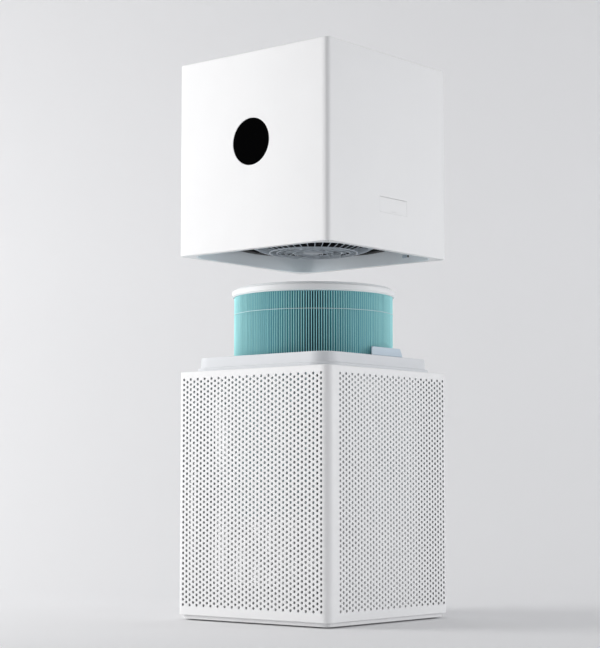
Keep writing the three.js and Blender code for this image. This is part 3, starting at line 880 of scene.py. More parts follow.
SHELL_WHITE = Moulded("shell_white", (0.90, 0.90, 0.905), 0.42)
CAP_WHITE = Moulded("cap_white", (0.90, 0.91, 0.92), 0.5, grain_scale=1500.0)
COLLAR_GREY = Moulded("collar_grey", (0.76, 0.775, 0.80), 0.48)
TAB_GREY = Moulded("tab_grey", (0.58, 0.68, 0.77), 0.5)
# Near-white with a blue cast for the socket lining; the blue cast is painted shade.
RECESS_SHADE_BLUE = Moulded("recess_painted_shade_blue", (0.88, 0.95, 1.0), 0.45)
# Near-black for the ceiling up under the head and its gasket ring: painted shade.
CEILING_SHADE_BLACK = Moulded("ceiling_painted_shade", (0.006, 0.0065, 0.008), 0.6, dusty=0.0, specular=0.2)
GUARD_GREY = Moulded("guard_grey", (0.62, 0.69, 0.76), 0.4)
GRILLE_GREY = Moulded("grille_grey", (0.55, 0.57, 0.60), 0.45)
INNER_GREY = Moulded("inner_grey", (0.10, 0.105, 0.115), 0.55)
# A darker grey for the insides of the white base walls and the corner posts: painted shade.
INSIDE_PAINTED_SHADE = Moulded("shell_inside_painted_shade", (0.50, 0.50, 0.51), 0.6)
WORKS_BLACK = Moulded("works_black", (0.012, 0.012, 0.014), 0.5)
FAN_GREY = Moulded("fan_grey", (0.030, 0.033, 0.038), 0.45)
DUCT_BLACK = Moulded("duct_black", (0.035, 0.037, 0.042), 0.6)
LENS_BLACK = Polished("lens_black")
PLEATS = PleatPaper("pleat_paper_painted_shade")
GASKET_FOAM = Felted("gasket_foam", (0.88, 0.89, 0.90))
THREAD = Felted("glue_thread", (0.66, 0.88, 0.92), 1600.0)
STEEL = Turned("turned_steel")
SHEET_STEEL = Turned("folded_steel", (0.5, 0.51, 0.53), 0.38)
COPPER = Turned("wound_copper", (0.72, 0.34, 0.16), 0.3)
GREEN_BOARD = Laminate("green_board")
FOOT_RUBBER = Rubber("foot_rubber")
PAPER = Backdrop("studio_paper")


def piece(name: str, surface: Surface, finish: Finish, body: Body, slot: str,
          replaces: Sequence[str] | None = None, soften: float = SOFTEN) -> bpy.types.Object:
    """Makes a visible piece, dresses it and rides it on its body.

    Args:
        name: Name of the piece.
        surface: Its worked-out surface.
        finish: Its finish.
        body: The body that carries it.
        slot: Name of the solid it is made for; it stands for that one unless replaces is given.
        replaces: Solids that it stands for; the one its slot is named after, if not given.
        soften: Edges flatter than this many degrees are shaded smooth.

    Returns:
        The object.
    """
    made = bpy.data.objects.new(name, mesh_from(name, surface, soften))
    bpy.context.scene.collection.objects.link(made)
    made.data.materials.append(finish.material())
    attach(made, body.value)
    replaces = [slot] if replaces is None else replaces
    if replaces:
        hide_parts(*replaces)
    log.info("%s: %d faces on %s", name, len(made.data.polygons), body.value)
    return made


def dress(node: str, finish: Finish) -> None:
    """Gives a carried-over solid its finish."""
    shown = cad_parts[node]
    shown.data.materials.clear()
    shown.data.materials.append(finish.material())
    log.info("%s: dressed in %s", node, finish.name)


def even_shading(made: bpy.types.Object) -> None:
    """Keeps broad flats flat by weighting each corner's shading by face area."""
    made.modifiers.new("even_shading", "WEIGHTED_NORMAL").keep_sharp = True


def cut(made: bpy.types.Object, cutters: Sequence[Surface], soften: float = SOFTEN) -> None:
    """Cuts openings in a piece and keeps only the result.

    Args:
        made: The piece to cut.
        cutters: Closed surfaces that are taken away.
        soften: Edges flatter than this many degrees are shaded smooth.
    """
    tools = []
    for k, surface in enumerate(cutters):
        tool = bpy.data.objects.new(f"cutter_{k}", mesh_from("cutter", surface, soften))
        bpy.context.scene.collection.objects.link(tool)
        step = made.modifiers.new(f"cut_{k}", "BOOLEAN")
        step.object, step.operation, step.solver = tool, "DIFFERENCE", "EXACT"
        tools.append(tool)
    seen = made.evaluated_get(bpy.context.evaluated_depsgraph_get())
    result = bpy.data.meshes.new_from_object(seen)
    made.modifiers.clear()
    made.data = result
    result.set_sharp_from_angle(angle=math.radians(soften))
    for tool in tools:
        bpy.data.objects.remove(tool)


def reach_of(node: str) -> tuple[Array, Array]:
    """Lowest and highest corner of a solid at rest, in metres."""
    low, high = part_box(node)
    return np.array(low, float), np.array(high, float)


def squared(rows: Array, half: float, corner: float, theta: Array) -> Array:
    """Rings of a rounded square, each drawn in or out by an offset at its own height.

    Args:
        rows: Offset from the reference outline, and height, for each ring.
        half: Half width of the reference outline.
        corner: Its corner radius; it grows and shrinks with the offset.
        theta: Directions of the points.

    Returns:
        Points, as rings by points by three.
    """
    return np.stack([ring(theta, square_reach(theta, half + d, max(corner + d, 1e-4)), z) for d, z in rows])


# --------------------------------------------------------------------------------------
# Base
# --------------------------------------------------------------------------------------
@dataclass
class PerforatedBase:
    """The lower box: four perforated walls wrapped round the corners, plinth and feet."""

    corner: float = 10.0 * MM
    wall: float = 2.5 * MM
    hole_radius: float = 1.84 * MM
    column_pitch: float = 5.74 * MM
    row_pitch: float = 6.26 * MM
    columns: int = 39
    rows: int = 45
    first_row: float = 18.9 * MM
    edge: float = 0.9 * MM
    blank: dict[int, tuple[int, ...]] = field(default_factory=lambda: {0: (39,), 1: (1,), 3: (37, 38)})

    def __post_init__(self) -> None:
        """Reads the box's size from its solid."""
        low, high = reach_of("base_shell")
        self.half, self.bottom, self.top = float(high[0]), float(low[2]), float(high[2])
        self.flat = self.half - self.corner
        self.quarter = 2 * self.flat + self.corner * math.pi / 2

    def on_wall(self, s: Array, t: Array | float, z: Array, turn: int) -> Array:
        """Places points given along the wall, out from it and up.

        Along a flat the place runs straight; past its end it runs round the corner's
        circle, whose radius grows with the distance out, and on along the next flat.

        Args:
            s: Distance along the wall from the middle of its flat.
            t: Distance out from the outer face.
            z: Height.
            turn: Which of the four walls, in quarter turns.

        Returns:
            Points.
        """
        phi = np.clip((s - self.flat) / self.corner, 0.0, math.pi / 2)
        past = np.maximum(s - self.flat - self.corner * math.pi / 2, 0.0)
        x = np.minimum(s, self.flat) + (self.corner + t) * np.sin(phi)
        y = past - self.flat - (self.corner + t) * np.cos(phi)
        for _ in range(turn):
            x, y = -y, x
        return np.stack(np.broadcast_arrays(x, y, z), -1)

    def sheet(self, s: Array, z: Array, t: float, turn: int, inward: bool) -> Surface:
        """A plain stretch of wall face on a grid of places along and up it."""
        ss, zz = np.meshgrid(s, z)
        quads = grid_quads(len(z), len(s), False, False)
        points = self.on_wall(ss, t, zz, turn).reshape(-1, 3)
        return Surface(points, quads[:, ::-1] if inward else quads)

    def cells(self, centres: Array, turn: int) -> Surface:
        """Round holes through the wall, each in a cell that meets its neighbours.

        A cell's border has twelve points, at the corners, the middles of its ends and
        the quarters of its sides, so that columns half a row apart share every point. A
        hole is a ring of twelve points inside it, carried through the wall.

        Args:
            centres: Centre of each hole, along and up.
            turn: Which wall.

        Returns:
            Both faces of the wall round the holes, and the holes' sides.
        """
        w, h = self.column_pitch / 2, self.row_pitch / 2
        border = np.array([(w, 0), (w, h / 2), (w, h), (0, h), (-w, h), (-w, h / 2)])
        border = np.concatenate([border, -border])
        a = np.arange(12) * TURN / 12
        hole = np.stack([np.cos(a), np.sin(a)], -1) * self.hole_radius
        one = np.concatenate([border, hole, border, hole])
        depth = np.repeat([0.0, -self.wall], 24)
        s = centres[:, None, 0] + one[None, :, 0]
        z = centres[:, None, 1] + one[None, :, 1]
        points = self.on_wall(s, np.broadcast_to(depth, s.shape), z, turn).reshape(-1, 3)
        i, j = np.arange(12), np.roll(np.arange(12), -1)
        front = np.stack([i, j, j + 12, i + 12], -1)
        side = np.stack([i + 12, j + 12, j + 36, i + 36], -1)
        back = np.stack([j + 24, i + 24, i + 36, j + 36], -1)
        cell = np.concatenate([front, side, back])
        steps = np.arange(len(centres)) * 48
        return Surface(points, (cell[None] + steps[:, None, None]).reshape(-1, 4))

    def wall_surface(self, turn: int) -> Surface:
        """One wall with its right-hand corner and the first column beyond it."""
        w, h = self.column_pitch, self.row_pitch
        middle = (self.columns - 1) / 2
        low = self.first_row - h / 2
        high = low + self.rows * h
        index = np.arange(1, self.columns)
        centre = np.append((index - middle) * w, self.quarter - middle * w)
        even = np.append(index % 2 == 0, True)
        plain = np.isin(np.append(index, self.columns), self.blank.get(turn, ()))
        up_even = self.first_row + np.arange(self.rows) * h
        up_odd = up_even[:-1] + h / 2
        holes = [np.stack(np.meshgrid(centre[even & ~plain], up_even), -1).reshape(-1, 2),
                 np.stack(np.meshgrid(centre[~even & ~plain], up_odd), -1).reshape(-1, 2)]
        made = self.cells(np.concatenate(holes), turn)

        parts = []
        for c in centre[~even & ~plain]:
            for z0 in (low, high - h / 2):
                for t, inward in ((0.0, False), (-self.wall, True)):
                    places = c + np.array([-w, 0.0, w]) / 2
                    parts.append(self.sheet(places, z0 + np.arange(3) * h / 4, t, turn, inward))
        round_s = np.linspace((middle + 0.5) * w, self.quarter - (middle + 0.5) * w, 13)
        quarters = low + np.arange(4 * self.rows + 1) * h / 4
        for t, inward in ((0.0, False), (-self.wall, True)):
            parts.append(self.sheet(round_s, quarters, t, turn, inward))
            for c in centre[plain]:
                parts.append(self.sheet(c + np.array([-w, 0.0, w]) / 2, quarters, t, turn, inward))

        begin, end = (1 - middle - 0.5) * w, self.quarter - (middle - 0.5) * w
        along = np.concatenate([begin + np.arange(2 * self.columns - 1) * w / 2, round_s[1:-1],
                                round_s[-1] + np.arange(3) * w / 2])
        arc = np.linspace(0.0, math.pi / 2, 5)
        e, wall = self.edge, self.wall
        top = np.concatenate([[(0.0, high), (0.0, self.top - 2 * e)],
                              np.stack([-e + e * np.cos(arc), self.top - e + e * np.sin(arc)], -1),
                              np.stack([-wall + e - e * np.sin(arc), self.top - e + e * np.cos(arc)], -1),
                              [(-wall, high)]])
        under = np.concatenate([[(-wall, low), (-wall, self.bottom)],
                                np.stack([-e + e * np.sin(arc), self.bottom + e - e * np.cos(arc)], -1),
                                [(0.0, self.bottom + 2 * e), (0.0, low)]])
        caps = []
        for band in (top, under):
            ss, row = np.meshgrid(along, np.arange(len(band)))
            points = self.on_wall(ss, band[row, 0], band[row, 1], turn).reshape(-1, 3)
            parts.append(Surface(points, grid_quads(len(band), len(along), False, False)))
            for s, flip in ((begin, False), (end, True)):
                cap = self.on_wall(np.full(len(band), s), band[:, 0], band[:, 1], turn)
                order = np.arange(len(band))
                caps.append(Surface(cap, np.zeros((0, 4), int), [order[::-1] if flip else order]))
        for s, flip in ((begin, False), (end, True)):
            tt, zz = np.meshgrid([0.0, -wall], quarters)
            points = self.on_wall(np.full(tt.shape, s), tt, zz, turn).reshape(-1, 3)
            quads = grid_quads(len(quarters), 2, False, False)
            caps.append(Surface(points, quads if flip else quads[:, ::-1]))
        return made.joined(*parts, *caps)

    def shade_inside(self, made: bpy.types.Object) -> None:
        """Gives the faces that look inwards a darker grey: painted shade for the inside of the white walls.
        """
        made.data.materials.append(INSIDE_PAINTED_SHADE.material())
        count = len(made.data.polygons)
        centres, normals = np.empty(count * 3, np.float32), np.empty(count * 3, np.float32)
        made.data.polygons.foreach_get("center", centres)
        made.data.polygons.foreach_get("normal", normals)
        out = (centres.reshape(-1, 3)[:, :2] * normals.reshape(-1, 3)[:, :2]).sum(1)
        made.data.polygons.foreach_set("material_index", (out < -0.5 * self.flat).astype(np.int32))

    def build(self) -> None:
        """Builds the walls, the plinth and the feet."""
        for turn, side in enumerate(("front", "right", "rear", "left")):
            made = piece(f"base_wall_{side}", self.wall_surface(turn), SHELL_WHITE, Body.BASE,
                         "base_shell")
            # The inward faces take a darker grey as painted shade.
            self.shade_inside(made)
        low, high = reach_of("plinth")
        half, floor = float(high[0]), self.bottom - 0.3 * MM
        theta = directions([(half, self.corner)])
        section = rounded_path([(-1.0, low[2], 0.0), (0.0, low[2], 0.0008), (0.0, high[2], 0.0006),
                                (-self.wall, high[2], 0.0006), (-self.wall, floor, 0.0), (-1.0, floor, 0.0)])
        rows = section[section[:, 0] > -0.5]
        made = piece("plinth_tray", loft(squared(rows, half, self.corner, theta)), SHELL_WHITE,
                     Body.BASE, "plinth")
        even_shading(made)
        for where in CORNERS:
            node = f"foot_{where}"
            foot_low, foot_high = reach_of(node)
            middle, r = (foot_low + foot_high) / 2, (foot_high - foot_low)[1] / 2
            section = band(0.0005, r, 0.0, foot_high[2], (0.0, 0.0005, 0.0, 0.0))
            piece(f"rubber_{node}", revolve(section, 40).moved((middle[0], middle[1], 0.0)),
                  FOOT_RUBBER, Body.BASE, node)

    def dress(self) -> None:
        """Dresses the solids that stay: the filter's seat, and the corner posts in the darker grey of painted
        shade.
        """
        dress("filter_seat", INNER_GREY)
        for where in CORNERS:
            dress(f"post_{where}", INSIDE_PAINTED_SHADE)


@dataclass
class FilterCollar:
    """The raised collar that guides the filter and the head, with its deck and tab."""

    corner: float = 24.0 * MM
    wall: float = 2.5 * MM
    flange: float = 3.5 * MM
    flange_rise: float = 4.5 * MM
    draft: float = 0.6 * MM

    def build(self) -> None:
        """Builds the collar, the deck round it and the tab on its right wall."""
        low, high = reach_of("filter_collar")
        deck_half, deck_top = float(high[0]), float(reach_of("base_shell")[1][2])
        half = deck_half - 10.7 * MM
        theta = directions([(half, self.corner), (deck_half, 7.2 * MM)])
        top = float(high[2])
        section = rounded_path([
            (self.flange, deck_top, 0.0), (self.flange, deck_top + self.flange_rise, 0.8 * MM),
            (0.0, deck_top + self.flange_rise, 1.2 * MM), (-self.draft, top, 0.9 * MM),
            (-self.wall - self.draft / 2, top, 0.9 * MM), (-self.wall, deck_top, 0.0)], 5)
        made = piece("collar_wall", loft(squared(section, half, self.corner, theta), closed=True),
                     COLLAR_GREY, Body.BASE, "filter_collar")
        even_shading(made)
        inner = square_reach(theta, half - self.wall, self.corner - self.wall)
        outer = square_reach(theta, deck_half, 7.2 * MM)
        rings = [ring(theta, outer, low[2]), ring(theta, outer, deck_top - 0.3 * MM),
                 ring(theta, outer - 0.3 * MM, deck_top), ring(theta, inner + 0.3 * MM, deck_top),
                 ring(theta, inner, deck_top - 0.3 * MM), ring(theta, inner, low[2])]
        made = piece("base_deck", loft(np.stack(rings), closed=True), COLLAR_GREY, Body.BASE,
                     "filter_collar")
        even_shading(made)

        tab_low, tab_high = reach_of("interlock_tab")
        y0, y1, z0, z1 = tab_low[1], tab_high[1], tab_low[2], tab_high[2]
        slant = 5.0 * MM
        outline = rounded_path([(y0, z0, 0.0), (y1, z0, 0.0), (y1 - slant, z1, 2.2 * MM),
                                (y0, z1, 1.6 * MM)], 6)
        middle = outline.mean(0)
        rings = []
        for x, inset in ((0.0, 0.35), (0.12, 0.1), (0.3, 0.0), (0.7, 0.0), (0.88, 0.1), (1.0, 0.35)):
            drawn = middle + (outline - middle) * (1.0 - inset / np.array([25.0, 5.0]))
            drawn[:, 1] = np.maximum(drawn[:, 1], z0)
            place = tab_low[0] + (tab_high[0] - tab_low[0]) * x
            rings.append(np.column_stack([np.full(len(drawn), place), drawn]))
        piece("collar_tab", loft(np.array(rings)), TAB_GREY, Body.BASE, "interlock_tab")


# --------------------------------------------------------------------------------------
# Filter
# --------------------------------------------------------------------------------------
@dataclass
class PleatedFilter:
    """The round filter: a pleated pack between two rings, a thread bead and a gasket."""

    pleats: int = 200
    fold_depth: float = 13.0 * MM
    heights: int = 9
    wobble: float = 0.04
    seed: int = 11

    def pack(self, outer: float, inner: float, low: float, high: float) -> Surface:
        """The folded paper, as a closed ring of deep narrow folds.

        Radius over one pleat is a flat-topped spike: the tip keeps the outer radius for
        about a seventh of the pitch, then falls steeply to the valley. Each tip wanders sideways by a
        slow random wave up its height, and stands a little proud or shy of the others.

        Args:
            outer: Radius of the fold tips.
            inner: Radius of the bore.
            low: Height of the lower end.
            high: Height of the upper end.

        Returns:
            The closed pack.
        """
        rng = np.random.default_rng(self.seed)
        place = np.array([-0.5, -0.27, -0.17, -0.07, 0.07, 0.17, 0.27])
        drop = np.array([1.0, 0.5, 0.035, 0.0, 0.0, 0.035, 0.5])
        number = np.arange(self.pleats)
        z = np.linspace(low, high, self.heights)
        share = (z - low) / (high - low)
        lean = rng.normal(0.0, self.wobble, self.pleats)
        sway = rng.normal(0.0, self.wobble, self.pleats)
        phase = rng.uniform(0.0, TURN, self.pleats)
        drift = lean[:, None] + sway[:, None] * np.sin(phase[:, None] + 5.0 * share)
        drift *= np.sin(math.pi * share) ** 0.5
        proud = rng.uniform(0.0, 0.35 * MM, self.pleats)
        tip = (drop < 0.3)[None, None, :]
        angle = number[None, :, None] + place[None, None, :] + np.where(tip, drift.T[:, :, None], 0.0)
        angle = angle * TURN / self.pleats
        radius = outer - drop * self.fold_depth
        radius = radius[None, None, :] - np.where(tip, proud[None, :, None], 0.0)
        radius = np.broadcast_to(radius, angle.shape)
        out = np.stack([radius * np.cos(angle), radius * np.sin(angle),
                        np.broadcast_to(z[:, None, None], angle.shape)], -1)
        out = out.reshape(self.heights, -1, 3)
        flat = (number[:, None] + place[None, :]).reshape(-1) * TURN / self.pleats
        dip = inner + 0.4 * MM * (1.0 + np.cos(flat * self.pleats))
        inside = np.stack([ring(flat, dip, high), ring(flat, dip, low)])
        return loft(np.concatenate([out, inside]), closed=True)

    def build(self) -> None:
        """Builds the pack, its two rings, the thread bead, the core and the gasket."""
        low, high = reach_of("filter_media")
        outer, z0, z1 = float(high[0]), float(low[2]), float(high[2])
        core = float(reach_of("filter_core")[1][0])
        piece("pleat_pack", self.pack(outer, core + 0.3 * MM, z0, z1), PLEATS, Body.FILTER,
              "filter_media", soften=62.0)

        ring_low, ring_high = reach_of("filter_top_ring")
        r, base, top = float(ring_high[0]), float(ring_low[2]), float(ring_high[2])
        bore = core - 2.2 * MM
        section = rounded_path([
            (bore, base, 0.0), (r - 1.2 * MM, base, 0.3 * MM), (r - 1.2 * MM, base + 0.9 * MM, 0.2 * MM),
            (r, base + 1.2 * MM, 0.5 * MM), (r, top, 1.3 * MM), (r - 5.0 * MM, top, 0.6 * MM),
            (r - 5.6 * MM, top - 0.9 * MM, 0.4 * MM), (bore + 4.0 * MM, top - 0.9 * MM, 0.4 * MM),
            (bore + 3.4 * MM, top, 0.6 * MM), (bore, top, 1.0 * MM)], 5)
        piece("filter_cap_ring", revolve(section, 180), CAP_WHITE, Body.FILTER, "filter_top_ring")
        cap_low, cap_high = reach_of("filter_bottom_cap")
        r, base, top = float(cap_high[0]), float(cap_low[2]), float(cap_high[2])
        section = rounded_path([
            (0.3 * MM, base + 2.5 * MM, 0.0), (bore - 2.0 * MM, base + 2.5 * MM, 1.0 * MM),
            (bore, base, 1.0 * MM), (r, base, 1.4 * MM), (r, top - 0.9 * MM, 0.5 * MM),
            (r - 1.2 * MM, top, 0.3 * MM), (0.3 * MM, top, 0.0)], 4)
        piece("filter_foot_cap", revolve(section, 144), CAP_WHITE, Body.FILTER, "filter_bottom_cap")
        self.build_trim(outer, core)

    def build_trim(self, outer: float, core: float) -> None:
        """Builds the thread bead, the foam gasket and the plain core tube.

        The bead hugs the fold tips: its radius swells by a fine wave, once for each pleat.

        Args:
            outer: Radius of the fold tips.
            core: Outer radius of the core.
        """
        low, high = reach_of("pleat_thread")
        z = float(low[2] + high[2]) / 2
        theta = np.linspace(0.0, TURN, self.pleats * 4, endpoint=False)
        wave = outer + 0.02 * MM + 0.28 * MM * np.cos(theta * self.pleats)
        rings = [ring(theta, wave + 0.28 * MM * math.cos(a), z + 0.38 * MM * math.sin(a))
                 for a in np.linspace(0.0, TURN, 6, endpoint=False)]
        piece("thread_bead", loft(np.stack(rings), closed=True), THREAD, Body.FILTER,
              "pleat_thread")

        low, high = reach_of("filter_gasket")
        r0 = float(high[0]) - 9.0 * MM
        section = band(r0, high[0], low[2] - 0.6 * MM, high[2], (0.0, 0.0, 1.2 * MM, 1.2 * MM), 5)
        piece("foam_gasket", revolve(section, 120), GASKET_FOAM, Body.FILTER, "filter_gasket")

        low, high = reach_of("filter_core")
        theta = np.linspace(0.0, TURN, 144, endpoint=False)
        r0 = core - 2.0 * MM
        rings = [ring(theta, r, z) for r, z in ((core, low[2]), (core, high[2]), (r0, high[2]), (r0, low[2]))]
        made = piece("core_tube", loft(np.stack(rings), closed=True), CAP_WHITE, Body.FILTER,
                     "filter_core")
        even_shading(made)


# --------------------------------------------------------------------------------------
# Head
# --------------------------------------------------------------------------------------
TO_FRONT = np.array([(1, 0, 0), (0, 0, 1), (0, -1, 0)])
TO_RIGHT = np.array([(0, 1, 0), (0, 0, 1), (1, 0, 0)])
TO_BACK = np.array([(-1, 0, 0), (0, 0, 1), (0, 1, 0)])


def round_plug(radius: float, depth: float, steps: int = 96) -> Surface:
    """A short round plug along Z, for cutting, whose corners miss the lines they cut."""
    theta = (np.arange(steps) + 0.37) * TURN / steps
    return loft(np.stack([ring(theta, radius, -depth / 2), ring(theta, radius, depth / 2)]))


def cutter_block(width: float, height: float, corner: float, depth: float) -> Surface:
    """A straight plate as deep before its middle as behind it, for cutting."""
    return plate(width, height, corner, np.array([(0, -depth / 2), (0, depth / 2)]))


def soft_plate(width: float, height: float, corner: float, depth: float, edge: float) -> Surface:
    """A plate from a flat back at nought to a front face with softly rounded edges."""
    a = np.linspace(0.0, math.pi / 2, 5)
    front = np.stack([edge - edge * np.cos(a), depth - edge + edge * np.sin(a)], -1)
    return plate(width, height, corner, np.concatenate([[(0.0, 0.0)], front, [(edge * 2, depth)]]))


@dataclass
class HeadShell:
    """The outer casing of the head with its lens, flap, button and mains inlet."""

    corner: float = 7.0 * MM
    wall: float = 2.5 * MM
    mouth_inset: float = 6.3 * MM
    mouth_corner: float = 31.5 * MM
    top_edge: float = 2.2 * MM
    foot_edge: float = 0.7 * MM
    gap: float = 0.16 * MM
    mark_skew: float = math.radians(62.0)
    mark_heights: tuple[float, ...] = (89.0 * MM, 117.0 * MM, 145.0 * MM)

    def __post_init__(self) -> None:
        """Reads the casing's size and its openings from the solids."""
        low, high = reach_of("head_shell")
        self.half, self.low, self.top = float(high[0]), float(low[2]), float(high[2])
        self.outlet = float(reach_of("outlet_grille")[1][0]) + 0.3 * MM
        self.lens_low, self.lens_high = reach_of("display_lens")
        self.door_low, self.door_high = reach_of("sensor_door")
        self.button_low, self.button_high = reach_of("rear_button")
        self.inlet_low, self.inlet_high = reach_of("power_inlet")

    def build(self) -> None:
        """Builds the casing and cuts its openings."""
        half, corner = self.half, self.corner
        theta = directions([(half, corner), (half - self.mouth_inset, self.mouth_corner)], 8, 10)

        def square(inset: float, z: float) -> Array:
            """A ring of the outer square drawn in."""
            return ring(theta, square_reach(theta, half - inset, max(corner - inset, 0.4 * MM)), z)

        def mouth(grow: float, z: float) -> Array:
            """A ring of the mouth."""
            reach = square_reach(theta, half - self.mouth_inset + grow, self.mouth_corner + grow)
            return ring(theta, reach, z)

        lip, e, t = self.low + self.wall, self.foot_edge, self.top_edge
        turn = np.linspace(0.0, math.pi / 2, 6)
        rings = [square(self.wall, self.top - self.wall), square(self.wall, lip),
                 mouth(0.5 * MM, lip), mouth(0.0, lip - 0.5 * MM), mouth(0.0, self.low + 0.4 * MM),
                 mouth(0.4 * MM, self.low)]
        rings += [square(e - e * math.sin(a), self.low + e - e * math.cos(a)) for a in turn]
        rings += [square(t - t * math.cos(a), self.top - t + t * math.sin(a)) for a in turn]
        rings += [ring(theta, self.outlet + grow, self.top - down) for grow, down in
                  ((0.6 * MM, 0.0), (0.18 * MM, 0.18 * MM), (0.0, 0.6 * MM), (0.0, self.wall))]
        shell = piece("head_casing", loft(np.stack(rings), closed=True), SHELL_WHITE, Body.HEAD,
                      "head_shell")
        centre = (self.lens_low + self.lens_high) / 2
        deep = 8.0 * MM
        lens_r = float(self.lens_high[0] - self.lens_low[0]) / 2 + self.gap
        hole = facing(round_plug(lens_r, deep, 128), TO_FRONT, (centre[0], -half, centre[2]))
        door = (self.door_low + self.door_high) / 2
        size = self.door_high - self.door_low
        flap = cutter_block(size[1] + 2 * self.gap, size[2] + 2 * self.gap, 0.3 * MM, deep)
        button = (self.button_low + self.button_high) / 2
        button_r = float(self.button_high[0] - self.button_low[0]) / 2 + self.gap
        mains = (self.inlet_low + self.inlet_high) / 2
        size = self.inlet_high - self.inlet_low
        socket = cutter_block(size[0] + self.gap, size[2] + self.gap, 3.0 * MM, deep)
        slot = cutter_block(7.5 * MM, 5.5 * MM, 1.0 * MM, deep).turned(math.radians(-40.0))
        slots = [slot.moved((half - 7.5 * MM, y, self.low)) for y in (7.5 * MM - half, half - 7.5 * MM)]
        pip = cutter_block(2.2 * MM, 6.5 * MM, 1.0 * MM, 2.0 * MM)
        c, s = math.cos(self.mark_skew), math.sin(self.mark_skew)
        away = np.array([(-s, c, 0), (0, 0, 1), (c, s, 0)])
        round_x, round_y = half - corner + corner * c, half - corner + corner * s
        pips = [facing(pip, away, (round_x, round_y, self.low + up)) for up in self.mark_heights]
        cut(shell, [
            hole, facing(flap, TO_RIGHT, (half, door[1], door[2])),
            facing(round_plug(button_r, deep, 64), TO_BACK, (button[0], half, button[2])),
            facing(socket, TO_BACK, (mains[0], half, mains[2])), *slots, *pips])
        even_shading(shell)
        self.build_fittings()

    def build_fittings(self) -> None:
        """Builds the lens, the flap, the button and the mains inlet."""
        low, high = self.lens_low, self.lens_high
        r, x, z = (high[0] - low[0]) / 2, (low[0] + high[0]) / 2, (low[2] + high[2]) / 2
        front, back = float(low[1]), float(high[1])
        a = np.linspace(0.0, math.pi / 2, 6)
        edge = 0.5 * MM
        dome = np.array([0.02, 0.25, 0.5, 0.75, 0.92])
        section = np.concatenate([
            [(0.0004, back), (0.02 * r, back), (r, back)],
            np.stack([r - edge + edge * np.cos(a), front + edge - edge * np.sin(a)], -1),
            np.stack([dome[::-1] * r, np.full(5, front)], -1), [(0.0004, front)]])
        piece("display_glass", revolve_across(section, 128, (x, z), -1.0), LENS_BLACK, Body.HEAD,
              "display_lens")

        low, high = self.door_low, self.door_high
        size, middle = high - low, (low + high) / 2
        barrel, edge = size[0] / 2 - 0.01 * MM, 0.2 * MM
        outline = rounded_path([(0.0, -size[2] / 2, edge), (size[0], -size[2] / 2, edge),
                                (size[0], size[2] / 2, barrel), (0.0, size[2] / 2, barrel)], 8)
        core = outline.mean(0)
        rings = []
        start = -1.0 + 2 * edge / size[1]
        for along, inset in ((-1.0, edge), (start, 0.0), (-start, 0.0), (1.0, edge)):
            drawn = core + (outline - core) * (1.0 - 2 * inset / np.array([size[0], size[2]]))
            place = np.full(len(drawn), along * size[1] / 2)
            rings.append(np.column_stack([place, drawn[:, 1], drawn[:, 0]]))
        face = loft(np.array(rings))
        grip = soft_plate(9.0 * MM, 0.6 * MM, 0.25 * MM, 0.2 * MM, 0.08 * MM)
        grip = grip.moved((0, 2.4 * MM - size[2] / 2, size[0] - 0.2 * MM))
        piece("sensor_flap", facing(face.joined(grip), TO_RIGHT, (low[0], middle[1], middle[2])),
              SHELL_WHITE, Body.DOOR, "sensor_door")

        low, high = self.button_low, self.button_high
        r, x, z = (high[0] - low[0]) / 2, (low[0] + high[0]) / 2, (low[2] + high[2]) / 2
        y0, y1 = float(low[1]), float(high[1])
        section = np.array([(0.0003, y0), (r * 0.62, y0), (r, y0 + 0.8 * MM), (r, y1 - 0.7 * MM),
                            (r - 0.2 * MM, y1 - 0.2 * MM), (r - 0.7 * MM, y1), (r * 0.7, y1 - 0.12 * MM),
                            (r * 0.4, y1 - 0.34 * MM), (0.0003, y1 - 0.45 * MM)])
        piece("rear_push_button", revolve_across(section, 64, (x, z), -1.0), COLLAR_GREY, Body.BUTTON,
              "rear_button")
        self.build_inlet()

    def build_inlet(self) -> None:
        """Builds the two-pole mains inlet with its recess and dresses its pins."""
        low, high = self.inlet_low, self.inlet_high
        size, middle = high - low, (low + high) / 2
        deep = float(size[1])
        block = facing(soft_plate(size[0], size[2], 2.6 * MM, deep, 0.5 * MM), TO_BACK,
                       (middle[0], low[1], middle[2]))
        made = piece("mains_inlet_block", block, WORKS_BLACK, Body.HEAD, "power_inlet")
        steps = np.array([(0, 0), (0, 12.0 * MM), (-0.6 * MM, 12.6 * MM)])
        recess = plate(16.0 * MM, 9.0 * MM, 4.2 * MM, steps)
        cut(made, [facing(recess, TO_BACK, (middle[0], high[1] - 12.0 * MM, middle[2]))])
        even_shading(made)
        for side in ("left", "right"):
            dress(f"inlet_pin_{side}", STEEL)


